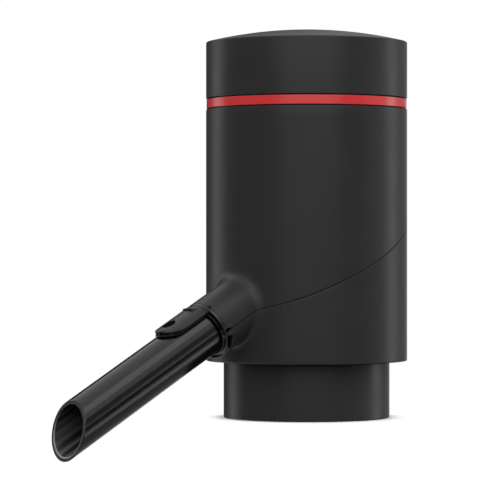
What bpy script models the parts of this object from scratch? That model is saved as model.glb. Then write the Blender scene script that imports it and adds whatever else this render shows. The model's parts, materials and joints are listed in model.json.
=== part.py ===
"""Electric wine dispenser: a battery air pump in a round head that sits on a bottle's neck.

The pump presses air into the bottle, and the wine rises through the stopper and leaves by the spout.
Metres, +Z up. The origin is on the head's axis, at the foot of the collar. The spout points along -Y.
"""

import math

import bmesh
import bpy
from mathutils import Matrix, Vector

# Shared clearances and overruns
FIT_GAP = 0.0003
CUT_OVERRUN = 0.002
BLEND_SINK = 0.0001

# Head: the round body above the collar
BODY_BOTTOM_Z = 0.01575
BODY_WALL = 0.0020
FLOOR_THICKNESS = 0.0020
EDGE_ROUND = 0.0004
RING_BOTTOM_Z = 0.0859
RING_HEIGHT = 0.0025
RING_RECESS = 0.00013
SPIGOT_WALL = 0.0008
SPIGOT_HEIGHT = 0.0064
RIM_Z = 0.1044
DOME_RISE = 0.0033
CAP_WALL = 0.0020

# Seam between the two shells: a plane through the spout's axis, tilted with it
SEAM_DROP = 0.0003

# Collar and what seals the bottle
COLLAR_RADIUS = 0.02309
COLLAR_WALL = 0.0022
WEB_THICKNESS = 0.0030
COLLAR_EDGE_ROUND = 0.0004
GASKET_INNER_RADIUS = 0.0098
GASKET_OUTER_RADIUS = 0.0175
GASKET_THICKNESS = 0.0015
STOPPER_RADIUS = 0.0093
STOPPER_CORE_RADIUS = 0.0085
STOPPER_FOOT_Z = 0.0015
STOPPER_RIB_HEIGHT = 0.0016
STOPPER_RIB_COUNT = 3

# Spout and the boss that it leaves by
SPOUT_AXIS_Z = 0.0445
SPOUT_FALL = math.radians(26.8)
SPOUT_RADIUS = 0.00639
SPOUT_WALL = 0.0009
SPOUT_FREE_LENGTH = 0.0554
SPOUT_TIP_SLANT = math.radians(37.6)
BOSS_RADIUS = 0.0080
BOSS_END_REACH = 0.0428
BOSS_FILLET = 0.0024
BOSS_BORE_RADIUS = 0.0072
BOSS_EDGE_ROUND = 0.0003
SOCKET_RING_LENGTH = 0.0013
SOCKET_RING_CHAMFER = 0.0003

# Release tab on top of the spout
TAB_LENGTH = 0.0146
TAB_HALF_ANGLE = math.radians(37.0)
TAB_END_CURVE = 0.0044
TAB_RIB_START = 0.0001
TAB_RIB_REACH = 0.0015
TAB_RIB_HEIGHT = 0.0006
TAB_RIB_DROP = 0.0003
TAB_RIB_HALF_ANGLE = math.radians(15.0)
TAB_HOLE_REACH = 0.0100
TAB_HOLE_LENGTH = 0.0042
TAB_HOLE_WIDTH = 0.0033

# Wine and air paths
MANIFOLD_FLANGE_PLAY = 0.0012
MANIFOLD_FLANGE_THICKNESS = 0.0020
COLUMN_RADIUS = 0.0034
ELBOW_RADIUS = 0.0054
NOZZLE_RADIUS = 0.0051
NOZZLE_BORE_RADIUS = 0.0030
NOZZLE_FREE_LENGTH = 0.0159
NOZZLE_LAND_LENGTH = 0.0097
NOZZLE_LAND_SETBACK = 0.0021
WINE_STEM_RADIUS = 0.0031
WINE_BORE_RADIUS = 0.0020
NIPPLE_RADIUS = 0.0012
NIPPLE_BORE_RADIUS = 0.0006
NIPPLE_OFFSET = 0.0062
NIPPLE_HEIGHT = 0.0055
SEAL_SETBACK = 0.0087
SEAL_SECTION = 0.0011
SEAL_GROOVE_DEPTH = 0.0013
HOSE_WALL = 0.0009
HOSE_BULGE = 0.0012
HOSE_PLAY = 0.0014

# Battery cage
CAGE_BOTTOM_Z = 0.0505
CAGE_TOP_Z = 0.0980
CAGE_FLOOR = 0.0020
CAGE_FLANGE_THICKNESS = 0.0012
CAGE_OUTER_WALL = 0.00095
CAGE_INNER_WALL = 0.00135
CELL_RADIUS = 0.00525
CELL_LENGTH = 0.0445
CELL_NUB_RADIUS = 0.0019
CELL_NUB_HEIGHT = 0.0010
CELL_COUNT = 4
POCKET_RADIUS = 0.0046
PUMP_WELL_PLAY = 0.0004
BOARD_LEDGE = 0.0007
BOARD_LEDGE_Z = 0.0937
CONTACT_THICKNESS = 0.0004
CELL_SPRING_RADIUS = 0.0030
CELL_SPRING_WIRE = 0.0005
CELL_SPRING_HEIGHT = 0.0018
CONTACT_BOARD_THICKNESS = 0.0010
CONTACT_BOARD_MARGIN = 0.0017

# Posts that carry the cage, and the screws
POST_RADIUS = 0.0026
SCREW_SHANK_RADIUS = 0.0009
SCREW_HEAD_RADIUS = 0.0018
SCREW_HEAD_HEIGHT = 0.0013
SCREW_DRIVE_WIDTH = 0.0005
SCREW_DRIVE_DEPTH = 0.0006
CAGE_SCREW_GRIP = 0.0080
COLLAR_SCREW_PLAY = 0.0013
COLLAR_SCREW_SKIN = 0.0004
MANIFOLD_SCREW_INSET = 0.0029
MANIFOLD_SCREW_GRIP = 0.0012

# Air pump and motor, stacked in the pump well
PUMP_RADIUS = 0.0119
PUMP_HEAD_HEIGHT = 0.0052
PUMP_OUTLET_DROP = 0.0065
DIAPHRAGM_THICKNESS = 0.0012
DIAPHRAGM_STALK_RADIUS = 0.0020
DIAPHRAGM_STALK_HEIGHT = 0.0012
CRANK_CASE_HEIGHT = 0.0080
CRANK_CASE_WALL = 0.0016
CAM_RADIUS = 0.0042
CAM_THROW = 0.0012
CAM_THICKNESS = 0.0022
SHAFT_RADIUS = 0.0010
SHAFT_DEPTH_IN_MOTOR = 0.0070
MOTOR_LENGTH = 0.0200
MOTOR_CAP_RADIUS = 0.0050
MOTOR_CAP_HEIGHT = 0.0015
MOTOR_EDGE_ROUND = 0.0008
LEAD_RADIUS = 0.0006

# Control board, switch and push button
BOARD_THICKNESS = 0.0012
SWITCH_SIDE = 0.0060
SWITCH_HEIGHT = 0.0022
SWITCH_PLUNGER_RADIUS = 0.0016
SWITCH_PLUNGER_HEIGHT = 0.0006
BUTTON_RADIUS = 0.0084
BUTTON_THICKNESS = 0.0018
BUTTON_STEM_RADIUS = 0.0025
BUTTON_BARB_RADIUS = 0.0033
BUTTON_TRAVEL = 0.0008
WELL_WALL = 0.0015
WELL_FLOOR_Z = 0.1015
WELL_FLOOR_THICKNESS = 0.0012
BUTTON_SPRING_RADIUS = 0.0050
BUTTON_SPRING_WIRE = 0.0005

# How finely round surfaces are faceted, in sides for each full turn
SIDES_BODY = 56
SIDES_MEDIUM = 28
SIDES_SMALL = 16
SIDES_TINY = 10
SIDES_SCREW = 8
BLEND_STEPS = 4
HOSE_STEPS = 10
LEAD_STEPS = 4
ROUND_STEPS = 3

# Places that follow from the sizes above, from the pump in the middle out to the head's surface
PUMP_WELL_RADIUS = PUMP_RADIUS + PUMP_WELL_PLAY
CELL_WELL_RADIUS = CELL_RADIUS + FIT_GAP
CELL_PITCH_RADIUS = PUMP_WELL_RADIUS + CAGE_INNER_WALL + CELL_WELL_RADIUS
CAGE_RADIUS = CELL_PITCH_RADIUS + CELL_WELL_RADIUS + CAGE_OUTER_WALL
BODY_INNER_RADIUS = CAGE_RADIUS + FIT_GAP
BODY_RADIUS = BODY_INNER_RADIUS + BODY_WALL
LEAD_OFFSET = (MOTOR_CAP_RADIUS + PUMP_RADIUS) / 2
COLLAR_SCREW_PITCH = CELL_PITCH_RADIUS - POST_RADIUS - COLLAR_SCREW_PLAY - SCREW_HEAD_RADIUS
MANIFOLD_FLANGE_RADIUS = COLLAR_SCREW_PITCH - SCREW_HEAD_RADIUS - MANIFOLD_FLANGE_PLAY
MANIFOLD_SCREW_PITCH = MANIFOLD_FLANGE_RADIUS - MANIFOLD_SCREW_INSET
SHELL_TOP_Z = RING_BOTTOM_Z - FIT_GAP
CAP_BOTTOM_Z = RING_BOTTOM_Z + RING_HEIGHT + FIT_GAP
SPIGOT_OUTER_RADIUS = BODY_INNER_RADIUS + SPIGOT_WALL
SPIGOT_TOP_Z = SHELL_TOP_Z + SPIGOT_HEIGHT
CAP_INNER_RADIUS = SPIGOT_OUTER_RADIUS + FIT_GAP
FLOOR_TOP_Z = BODY_BOTTOM_Z + FLOOR_THICKNESS
WEB_TOP_Z = BODY_BOTTOM_Z - FIT_GAP
WEB_BOTTOM_Z = WEB_TOP_Z - WEB_THICKNESS
FLANGE_BOTTOM_Z = FLOOR_TOP_Z + FIT_GAP
FLANGE_TOP_Z = FLANGE_BOTTOM_Z + MANIFOLD_FLANGE_THICKNESS
CAGE_FLOOR_TOP_Z = CAGE_BOTTOM_Z + CAGE_FLOOR
CONTACT_TOP_Z = CAGE_FLOOR_TOP_Z + FIT_GAP + CONTACT_THICKNESS
SPRING_BOTTOM_Z = CONTACT_TOP_Z + FIT_GAP
CELL_BOTTOM_Z = SPRING_BOTTOM_Z + CELL_SPRING_HEIGHT + FIT_GAP
CELL_TOP_Z = CELL_BOTTOM_Z + CELL_LENGTH
CAP_CONTACT_BOTTOM_Z = CELL_TOP_Z + FIT_GAP
CONTACT_BOARD_BOTTOM_Z = CAP_CONTACT_BOTTOM_Z + CONTACT_THICKNESS + FIT_GAP
CONTACT_BOARD_TOP_Z = CONTACT_BOARD_BOTTOM_Z + CONTACT_BOARD_THICKNESS
PUMP_BOTTOM_Z = CAGE_FLOOR_TOP_Z + FIT_GAP
PUMP_HEAD_TOP_Z = PUMP_BOTTOM_Z + PUMP_HEAD_HEIGHT
DIAPHRAGM_TOP_Z = PUMP_HEAD_TOP_Z + FIT_GAP + DIAPHRAGM_THICKNESS
CRANK_BOTTOM_Z = DIAPHRAGM_TOP_Z + FIT_GAP
CRANK_TOP_Z = CRANK_BOTTOM_Z + CRANK_CASE_HEIGHT
CAM_BOTTOM_Z = DIAPHRAGM_TOP_Z + DIAPHRAGM_STALK_HEIGHT + FIT_GAP
MOTOR_BOTTOM_Z = CRANK_TOP_Z + FIT_GAP
MOTOR_TOP_Z = MOTOR_BOTTOM_Z + MOTOR_LENGTH
BOARD_BOTTOM_Z = BOARD_LEDGE_Z + FIT_GAP
BOARD_TOP_Z = BOARD_BOTTOM_Z + BOARD_THICKNESS
SWITCH_BOTTOM_Z = BOARD_TOP_Z + FIT_GAP
SWITCH_TOP_Z = SWITCH_BOTTOM_Z + SWITCH_HEIGHT + SWITCH_PLUNGER_HEIGHT
WELL_TOP_OF_FLOOR_Z = WELL_FLOOR_Z + WELL_FLOOR_THICKNESS
SPOUT_BORE_RADIUS = SPOUT_RADIUS - SPOUT_WALL
NOZZLE_LAND_END = BOSS_END_REACH - NOZZLE_LAND_SETBACK
NOZZLE_LAND_START = NOZZLE_LAND_END - NOZZLE_LAND_LENGTH
SPOUT_ROOT_REACH = NOZZLE_LAND_END + FIT_GAP
SOCKET_RING_REACH = BOSS_END_REACH + FIT_GAP
SPOUT_TIP_REACH = BOSS_END_REACH + SPOUT_FREE_LENGTH
NOZZLE_END_REACH = BOSS_END_REACH + NOZZLE_FREE_LENGTH
SEAL_REACH = NOZZLE_END_REACH - SEAL_SETBACK
TAB_ROOT_REACH = SOCKET_RING_REACH + SOCKET_RING_LENGTH + FIT_GAP
BUTTON_BARB_BOTTOM_Z = SWITCH_TOP_Z + BUTTON_TRAVEL + FIT_GAP
BUTTON_BARB_TOP_Z = WELL_FLOOR_Z - FIT_GAP
TAB_INNER_RADIUS = SPOUT_RADIUS + FIT_GAP
HOSE_INNER_RADIUS = NIPPLE_RADIUS + FIT_GAP
HOSE_OUTER_RADIUS = HOSE_INNER_RADIUS + HOSE_WALL
PUMP_OUTLET_OFFSET = ELBOW_RADIUS + HOSE_OUTER_RADIUS + HOSE_PLAY

# The spout's own frame: X across, Y up across the tube, Z along it to the tip
SPOUT_DIRECTION = Vector((0.0, -math.cos(SPOUT_FALL), -math.sin(SPOUT_FALL)))
SPOUT_UP = Vector((0.0, -math.sin(SPOUT_FALL), math.cos(SPOUT_FALL)))
SPOUT_ACROSS = Vector((1.0, 0.0, 0.0))
SPOUT_FRAME = Matrix.Translation((0.0, 0.0, SPOUT_AXIS_Z)) @ Matrix((
    (SPOUT_ACROSS.x, SPOUT_UP.x, SPOUT_DIRECTION.x, 0.0),
    (SPOUT_ACROSS.y, SPOUT_UP.y, SPOUT_DIRECTION.y, 0.0),
    (SPOUT_ACROSS.z, SPOUT_UP.z, SPOUT_DIRECTION.z, 0.0),
    (0.0, 0.0, 0.0, 1.0),
))

QUARTER_TURN = math.radians(90.0)
EIGHTH_TURN = math.radians(45.0)
FULL_TURN = math.radians(360.0)
SHARP_EDGE = math.radians(35.0)


def clear_scene():
    for scene_object in list(bpy.data.objects):
        bpy.data.objects.remove(scene_object, do_unlink=True)


def make_material(name, colour, roughness, metallic=0.0, alpha=1.0):
    material = bpy.data.materials.new(name)
    material.use_nodes = True
    shader = material.node_tree.nodes["Principled BSDF"]
    shader.inputs["Base Color"].default_value = (*colour, 1.0)
    shader.inputs["Roughness"].default_value = roughness
    shader.inputs["Metallic"].default_value = metallic
    shader.inputs["Alpha"].default_value = alpha
    return material


def add_object(name, mesh_builder, material=None):
    """Turn a bmesh into an object, with its faces outwards and its round sides smooth."""
    bmesh.ops.recalc_face_normals(mesh_builder, faces=mesh_builder.faces)
    mesh = bpy.data.meshes.new(name)
    mesh_builder.to_mesh(mesh)
    mesh_builder.free()
    piece = bpy.data.objects.new(name, mesh)
    bpy.context.scene.collection.objects.link(piece)
    if material:
        mesh.materials.append(material)
    return piece


def finish(piece):
    piece.data.shade_smooth()
    piece.data.set_sharp_from_angle(angle=SHARP_EDGE)
    return piece


def polar(radius, angle, height=0.0):
    return Vector((radius * math.cos(angle), radius * math.sin(angle), height))


def turn_of(side, sides):
    """The angle of one of the corners of a round outline, which has a flat and not a corner on each axis."""
    return FULL_TURN * (side + 0.5) / sides


def lathe(name, profile, sides, material=None, closed=False, place=Matrix.Identity(4)):
    """Turn a profile of (radius, height) points about Z.

    An open profile starts and ends on the axis, and a closed one is the section of a ring.
    A flat end is one face.
    """
    builder = bmesh.new()
    flat_foot = not closed and profile[0][1] == profile[1][1]
    flat_top = not closed and profile[-1][1] == profile[-2][1]
    rings = []
    for radius, height in profile[int(flat_foot):len(profile) - int(flat_top)]:
        if radius == 0.0:
            rings.append([builder.verts.new(Vector((0.0, 0.0, height)))])
        else:
            corners = [polar(radius, turn_of(side, sides), height) for side in range(sides)]
            rings.append([builder.verts.new(corner) for corner in corners])
    if flat_foot:
        builder.faces.new(rings[0])
    if flat_top:
        builder.faces.new(rings[-1])
    pairs = list(zip(rings, rings[1:]))
    if closed:
        pairs.append((rings[-1], rings[0]))
    for low, high in pairs:
        for side in range(sides):
            after = (side + 1) % sides
            if len(low) == 1:
                builder.faces.new((low[0], high[side], high[after]))
            elif len(high) == 1:
                builder.faces.new((low[side], low[after], high[0]))
            else:
                builder.faces.new((low[side], low[after], high[after], high[side]))
    builder.transform(place)
    return add_object(name, builder, material)


def disc_profile(radius, bottom, top):
    return [(0.0, bottom), (radius, bottom), (radius, top), (0.0, top)]


def ring_profile(inner, outer, bottom, top):
    return [(inner, bottom), (outer, bottom), (outer, top), (inner, top)]


def rounded_corner(radius, height, size, start_angle):
    """Points of a convex quarter arc in a profile, whose corner would be at (radius, height)."""
    outward = 1.0 if math.cos(start_angle + EIGHTH_TURN) > 0.0 else -1.0
    upward = 1.0 if math.sin(start_angle + EIGHTH_TURN) > 0.0 else -1.0
    points = []
    for step in range(ROUND_STEPS + 1):
        angle = start_angle + QUARTER_TURN * step / ROUND_STEPS
        centre_radius = radius - outward * size
        centre_height = height - upward * size
        points.append((centre_radius + size * math.cos(angle), centre_height + size * math.sin(angle)))
    return points


def prism(name, outline, bottom, top, material=None, place=Matrix.Identity(4)):
    """Extrude an outline of (x, y) points from bottom to top along Z."""
    builder = bmesh.new()
    low = [builder.verts.new((x, y, bottom)) for x, y in outline]
    high = [builder.verts.new((x, y, top)) for x, y in outline]
    builder.faces.new(low)
    builder.faces.new(high)
    for index in range(len(outline)):
        after = (index + 1) % len(outline)
        builder.faces.new((low[index], low[after], high[after], high[index]))
    builder.transform(place)
    return add_object(name, builder, material)


def box_outline(width, depth):
    x = width / 2
    y = depth / 2
    return [(-x, -y), (x, -y), (x, y), (-x, y)]


def combine(piece, other, operation):
    """Join or cut a piece with a Boolean, keep the result as its mesh, and drop the other object."""
    boolean = piece.modifiers.new(operation.title(), "BOOLEAN")
    boolean.operation = operation
    boolean.solver = "EXACT"
    boolean.object = other
    bpy.context.view_layer.update()
    evaluated = piece.evaluated_get(bpy.context.evaluated_depsgraph_get())
    old_mesh = piece.data
    new_mesh = bpy.data.meshes.new_from_object(evaluated)
    piece.modifiers.clear()
    piece.data = new_mesh
    new_mesh.name = piece.name
    bpy.data.meshes.remove(old_mesh)
    bpy.data.objects.remove(other, do_unlink=True)
    return piece


def cut(piece, *cutters):
    for cutter in cutters:
        combine(piece, cutter, "DIFFERENCE")
    return piece


def join(piece, *others):
    for other in others:
        combine(piece, other, "UNION")
    return piece


def peg(radius, bottom, top, sides=SIDES_SMALL, place=Matrix.Identity(4)):
    """A plain cylinder to join to a piece or to cut from it."""
    return lathe("peg", disc_profile(radius, bottom, top), sides, place=place)


def at(x, y, z=0.0):
    return Matrix.Translation((x, y, z))


def move_origin(piece, point):
    """Put the object's origin on its joint's axis without moving the shape."""
    piece.data.transform(Matrix.Translation(-point))
    piece.location = point


def on_pitch(pitch, turn):
    """The place of one of four repeated pieces round the head's axis."""
    return at(pitch * math.cos(turn), pitch * math.sin(turn))


def dome_height(radius):
    """Height of the domed top, a shallow arch that falls off with the square of the radius."""
    return RIM_Z + DOME_RISE * (1.0 - (radius / (BODY_RADIUS - EDGE_ROUND)) ** 2)


def body_reach(across, up):
    """Distance along the spout's axis at which a line beside it leaves the round body."""
    forward = math.sqrt(BODY_RADIUS ** 2 - across ** 2)
    return (forward - up * math.sin(SPOUT_FALL)) / math.cos(SPOUT_FALL)


def make_boss():
    """The spout's boss, whose root flares into the body in a hollow quarter curve."""
    foot_radius = BOSS_RADIUS + BOSS_FILLET
    builder = bmesh.new()
    columns = []
    for side in range(SIDES_MEDIUM):
        angle = turn_of(side, SIDES_MEDIUM)
        foot_reach = body_reach(foot_radius * math.cos(angle), foot_radius * math.sin(angle)) - BLEND_SINK
        neck_reach = body_reach(BOSS_RADIUS * math.cos(angle), BOSS_RADIUS * math.sin(angle))
        points = [(foot_radius, foot_reach - BODY_WALL / 2)]
        for step in range(BLEND_STEPS + 1):
            share = step / BLEND_STEPS
            radius = foot_radius * (1.0 - share) ** 2 + BOSS_RADIUS * (1.0 - (1.0 - share) ** 2)
            reach = foot_reach * (1.0 - share) ** 2 + neck_reach * (1.0 - (1.0 - share) ** 2)
            points.append((radius, reach + BOSS_FILLET * share ** 2))
        points.append((BOSS_RADIUS, BOSS_END_REACH - BOSS_EDGE_ROUND))
        points.append((BOSS_RADIUS - BOSS_EDGE_ROUND, BOSS_END_REACH))
        columns.append([builder.verts.new(polar(radius, angle, reach)) for radius, reach in points])
    root = builder.verts.new((0.0, 0.0, body_reach(0.0, 0.0) - BODY_WALL))
    for side in range(SIDES_MEDIUM):
        column = columns[side]
        after = columns[(side + 1) % SIDES_MEDIUM]
        builder.faces.new((root, after[0], column[0]))
        for row in range(len(column) - 1):
            builder.faces.new((column[row], after[row], after[row + 1], column[row + 1]))
    builder.faces.new([column[-1] for column in columns])
    builder.transform(SPOUT_FRAME)
    return add_object("boss", builder)


def half_space(upper):
    """A block to cut away one side of the seam, which reaches half a gap past it."""
    size = 4 * BODY_RADIUS
    near = FIT_GAP / 2
    ends = (-near, size) if upper else (-size, near)
    outline = [(-size, ends[0]), (size, ends[0]), (size, ends[1]), (-size, ends[1])]
    place = at(0.0, 0.0, -SEAM_DROP) @ SPOUT_FRAME
    return prism("half_space", outline, -size, size, place=place)


def make_hollow_body(name, material):
    """The whole outer case with its boss, still in one piece across the seam."""
    profile = [(0.0, BODY_BOTTOM_Z)]
    profile += rounded_corner(BODY_RADIUS, BODY_BOTTOM_Z, EDGE_ROUND, -QUARTER_TURN)
    profile += [
        (BODY_RADIUS, SHELL_TOP_Z),
        (SPIGOT_OUTER_RADIUS, SHELL_TOP_Z),
        (SPIGOT_OUTER_RADIUS, SPIGOT_TOP_Z),
        (0.0, SPIGOT_TOP_Z),
    ]
    body = lathe(name, profile, SIDES_BODY, material)
    join(body, make_boss())
    inside = peg(BODY_INNER_RADIUS, FLOOR_TOP_Z, SPIGOT_TOP_Z + CUT_OVERRUN, SIDES_BODY)
    bore_top = BOSS_END_REACH + CUT_OVERRUN
    bore = peg(BOSS_BORE_RADIUS, BODY_INNER_RADIUS / 2, bore_top, SIDES_MEDIUM, SPOUT_FRAME)
    return cut(body, inside, bore)


def make_upper_shell(material):
    shell = make_hollow_body("upper_shell", material)
    return finish(cut(shell, half_space(upper=False)))


def make_lower_shell(material):
    shell = make_hollow_body("lower_shell", material)
    cut(shell, half_space(upper=True))
    post_top = CAGE_BOTTOM_Z - FIT_GAP
    for corner in range(CELL_COUNT):
        turn = EIGHTH_TURN + QUARTER_TURN * corner
        place = on_pitch(CELL_PITCH_RADIUS, turn)
        join(shell, peg(POST_RADIUS, FLOOR_TOP_Z - FLOOR_THICKNESS / 2, post_top, SIDES_TINY, place))
        hole_bottom = post_top - CAGE_SCREW_GRIP
        hole_top = post_top + CUT_OVERRUN
        cut(shell, peg(SCREW_SHANK_RADIUS + FIT_GAP, hole_bottom, hole_top, SIDES_SCREW, place))
        place = on_pitch(COLLAR_SCREW_PITCH, turn)
        cut(shell, floor_hole(SCREW_SHANK_RADIUS + FIT_GAP, place))
    for side in (1, -1):
        cut(shell, floor_hole(SCREW_SHANK_RADIUS + FIT_GAP, at(side * MANIFOLD_SCREW_PITCH, 0.0)))
    cut(shell, floor_hole(WINE_STEM_RADIUS + FIT_GAP, at(0.0, 0.0)))
    cut(shell, floor_hole(NIPPLE_RADIUS + FIT_GAP, at(0.0, NIPPLE_OFFSET)))
    return finish(shell)


def floor_hole(radius, place):
    return peg(radius, BODY_BOTTOM_Z - CUT_OVERRUN, FLOOR_TOP_Z + CUT_OVERRUN, SIDES_TINY, place)


def make_collar(material):
    """The skirt that hides the bottle's neck, closed at the top by a web that the head is screwed to."""
    inner_radius = COLLAR_RADIUS - COLLAR_WALL
    stem_hole_radius = WINE_STEM_RADIUS + FIT_GAP
    profile = [(stem_hole_radius, WEB_BOTTOM_Z), (inner_radius, WEB_BOTTOM_Z), (inner_radius, 0.0)]
    profile += rounded_corner(COLLAR_RADIUS, 0.0, COLLAR_EDGE_ROUND, -QUARTER_TURN)
    profile += [(COLLAR_RADIUS, WEB_TOP_Z), (stem_hole_radius, WEB_TOP_Z)]
    collar = lathe("bottle_collar", profile, SIDES_BODY, material, closed=True)
    for corner in range(CELL_COUNT):
        place = on_pitch(COLLAR_SCREW_PITCH, EIGHTH_TURN + QUARTER_TURN * corner)
        bottom = WEB_BOTTOM_Z + COLLAR_SCREW_SKIN
        cut(collar, peg(SCREW_SHANK_RADIUS + FIT_GAP, bottom, WEB_TOP_Z + CUT_OVERRUN, SIDES_TINY, place))
    hole_bottom = WEB_BOTTOM_Z - CUT_OVERRUN
    hole_place = at(0.0, NIPPLE_OFFSET)
    cut(collar, peg(NIPPLE_RADIUS + FIT_GAP, hole_bottom, WEB_TOP_Z + CUT_OVERRUN, SIDES_TINY, hole_place))
    return finish(collar)


def make_gasket(material):
    top = WEB_BOTTOM_Z - FIT_GAP
    profile = ring_profile(GASKET_INNER_RADIUS, GASKET_OUTER_RADIUS, top - GASKET_THICKNESS, top)
    return finish(lathe("neck_gasket", profile, SIDES_MEDIUM, material, closed=True))


def make_stopper(material):
    """A ribbed plug round the wine stem, with a second hole for the air."""
    top = WEB_BOTTOM_Z - FIT_GAP
    inner_radius = WINE_STEM_RADIUS + FIT_GAP
    pitch = (top - STOPPER_FOOT_Z) / (STOPPER_RIB_COUNT + 1)
    profile = [(inner_radius, top), (inner_radius, STOPPER_FOOT_Z), (STOPPER_CORE_RADIUS, STOPPER_FOOT_Z)]
    for rib in range(STOPPER_RIB_COUNT):
        middle = STOPPER_FOOT_Z + pitch * (rib + 1)
        profile.append((STOPPER_CORE_RADIUS, middle - STOPPER_RIB_HEIGHT / 2))
        profile.append((STOPPER_RADIUS, middle))
        profile.append((STOPPER_CORE_RADIUS, middle + STOPPER_RIB_HEIGHT / 2))
    profile.append((STOPPER_CORE_RADIUS, top))
    stopper = lathe("bottle_stopper", profile, SIDES_MEDIUM, material, closed=True)
    hole_bottom = STOPPER_FOOT_Z - CUT_OVERRUN
    hole_place = at(0.0, NIPPLE_OFFSET)
    cut(stopper, peg(NIPPLE_RADIUS + FIT_GAP, hole_bottom, top + CUT_OVERRUN, SIDES_TINY, hole_place))
    return finish(stopper)


def make_accent_ring(material):
    inner_radius = SPIGOT_OUTER_RADIUS + FIT_GAP
    outer_radius = BODY_RADIUS - RING_RECESS
    profile = ring_profile(inner_radius, outer_radius, RING_BOTTOM_Z, RING_BOTTOM_Z + RING_HEIGHT)
    return finish(lathe("accent_ring", profile, SIDES_BODY, material, closed=True))


def make_battery_cap(material):
    """The domed lid, with a well for the button and four pegs that seat the contact board."""
    well_radius = BUTTON_RADIUS + FIT_GAP
    well_outer = well_radius + WELL_WALL
    stem_hole = BUTTON_STEM_RADIUS + FIT_GAP
    profile = [(CAP_INNER_RADIUS, CAP_BOTTOM_Z), (BODY_RADIUS, CAP_BOTTOM_Z)]
    profile += rounded_corner(BODY_RADIUS, RIM_Z, EDGE_ROUND, 0.0)
    dome_start = BODY_RADIUS - EDGE_ROUND
    for step in range(1, BLEND_STEPS + 1):
        radius = dome_start + (well_radius - dome_start) * step / BLEND_STEPS
        profile.append((radius, dome_height(radius)))
    profile += [
        (well_radius, WELL_TOP_OF_FLOOR_Z),
        (stem_hole, WELL_TOP_OF_FLOOR_Z),
        (stem_hole, WELL_FLOOR_Z),
        (well_outer, WELL_FLOOR_Z),
    ]
    for step in range(BLEND_STEPS + 1):
        radius = well_outer + (CAP_INNER_RADIUS - well_outer) * step / BLEND_STEPS
        profile.append((radius, dome_height(radius) - CAP_WALL))
    cap = lathe("battery_cap", profile, SIDES_BODY, material, closed=True)
    peg_top = dome_height(CELL_PITCH_RADIUS) - CAP_WALL / 2
    for corner in range(CELL_COUNT):
        place = on_pitch(CELL_PITCH_RADIUS, EIGHTH_TURN + QUARTER_TURN * corner)
        join(cap, peg(CAP_WALL / 2, CONTACT_BOARD_TOP_Z + FIT_GAP, peg_top, SIDES_TINY, place))
    return finish(cap)


def make_push_button(material):
    under = dome_height(BUTTON_RADIUS) - BUTTON_THICKNESS
    profile = [
        (0.0, BUTTON_BARB_BOTTOM_Z),
        (BUTTON_STEM_RADIUS, BUTTON_BARB_BOTTOM_Z),
        (BUTTON_BARB_RADIUS, BUTTON_BARB_TOP_Z),
        (BUTTON_STEM_RADIUS, BUTTON_BARB_TOP_Z),
        (BUTTON_STEM_RADIUS, under),
        (BUTTON_RADIUS, under),
    ]
    for step in range(ROUND_STEPS + 1):
        radius = BUTTON_RADIUS * (1.0 - step / ROUND_STEPS)
        profile.append((radius, dome_height(radius)))
    return finish(lathe("push_button", profile, SIDES_MEDIUM, material))


def make_button_spring(material):
    bottom = WELL_TOP_OF_FLOOR_Z + FIT_GAP
    top = dome_height(BUTTON_RADIUS) - BUTTON_THICKNESS - FIT_GAP
    profile = ring_profile(BUTTON_SPRING_RADIUS - BUTTON_SPRING_WIRE, BUTTON_SPRING_RADIUS, bottom, top)
    return finish(lathe("button_spring", profile, SIDES_SMALL, material, closed=True))


def make_battery_cage(material):
    """The inner frame: wells for the cells and the pump, and pockets that hold its screws."""
    flange_bottom = SPIGOT_TOP_Z + FIT_GAP
    flange_top = flange_bottom + CAGE_FLANGE_THICKNESS
    profile = [
        (0.0, CAGE_BOTTOM_Z),
        (CAGE_RADIUS, CAGE_BOTTOM_Z),
        (CAGE_RADIUS, flange_bottom),
        (SPIGOT_OUTER_RADIUS, flange_bottom),
        (SPIGOT_OUTER_RADIUS, flange_top),
        (CAGE_RADIUS, flange_top),
        (CAGE_RADIUS, CAGE_TOP_Z),
        (0.0, CAGE_TOP_Z),
    ]
    cage = lathe("battery_cage", profile, SIDES_BODY, material)
    above = CAGE_TOP_Z + CUT_OVERRUN
    below = CAGE_BOTTOM_Z - CUT_OVERRUN
    cut(cage, peg(PUMP_WELL_RADIUS, CAGE_FLOOR_TOP_Z, above, SIDES_MEDIUM))
    cut(cage, peg(PUMP_WELL_RADIUS + BOARD_LEDGE, BOARD_LEDGE_Z, above, SIDES_MEDIUM))
    cut(cage, peg(NIPPLE_RADIUS + FIT_GAP, below, above, SIDES_TINY, at(0.0, PUMP_OUTLET_OFFSET)))
    for quarter in range(CELL_COUNT):
        cell_place = on_pitch(CELL_PITCH_RADIUS, QUARTER_TURN * quarter)
        pocket_place = on_pitch(CELL_PITCH_RADIUS, EIGHTH_TURN + QUARTER_TURN * quarter)
        cut(cage, peg(CELL_WELL_RADIUS, CAGE_FLOOR_TOP_Z, above, SIDES_SMALL, cell_place))
        cut(cage, peg(POCKET_RADIUS, CAGE_FLOOR_TOP_Z, above, SIDES_SMALL, pocket_place))
        cut(cage, peg(SCREW_SHANK_RADIUS + FIT_GAP, below, above, SIDES_TINY, pocket_place))
    return finish(cage)


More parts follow.
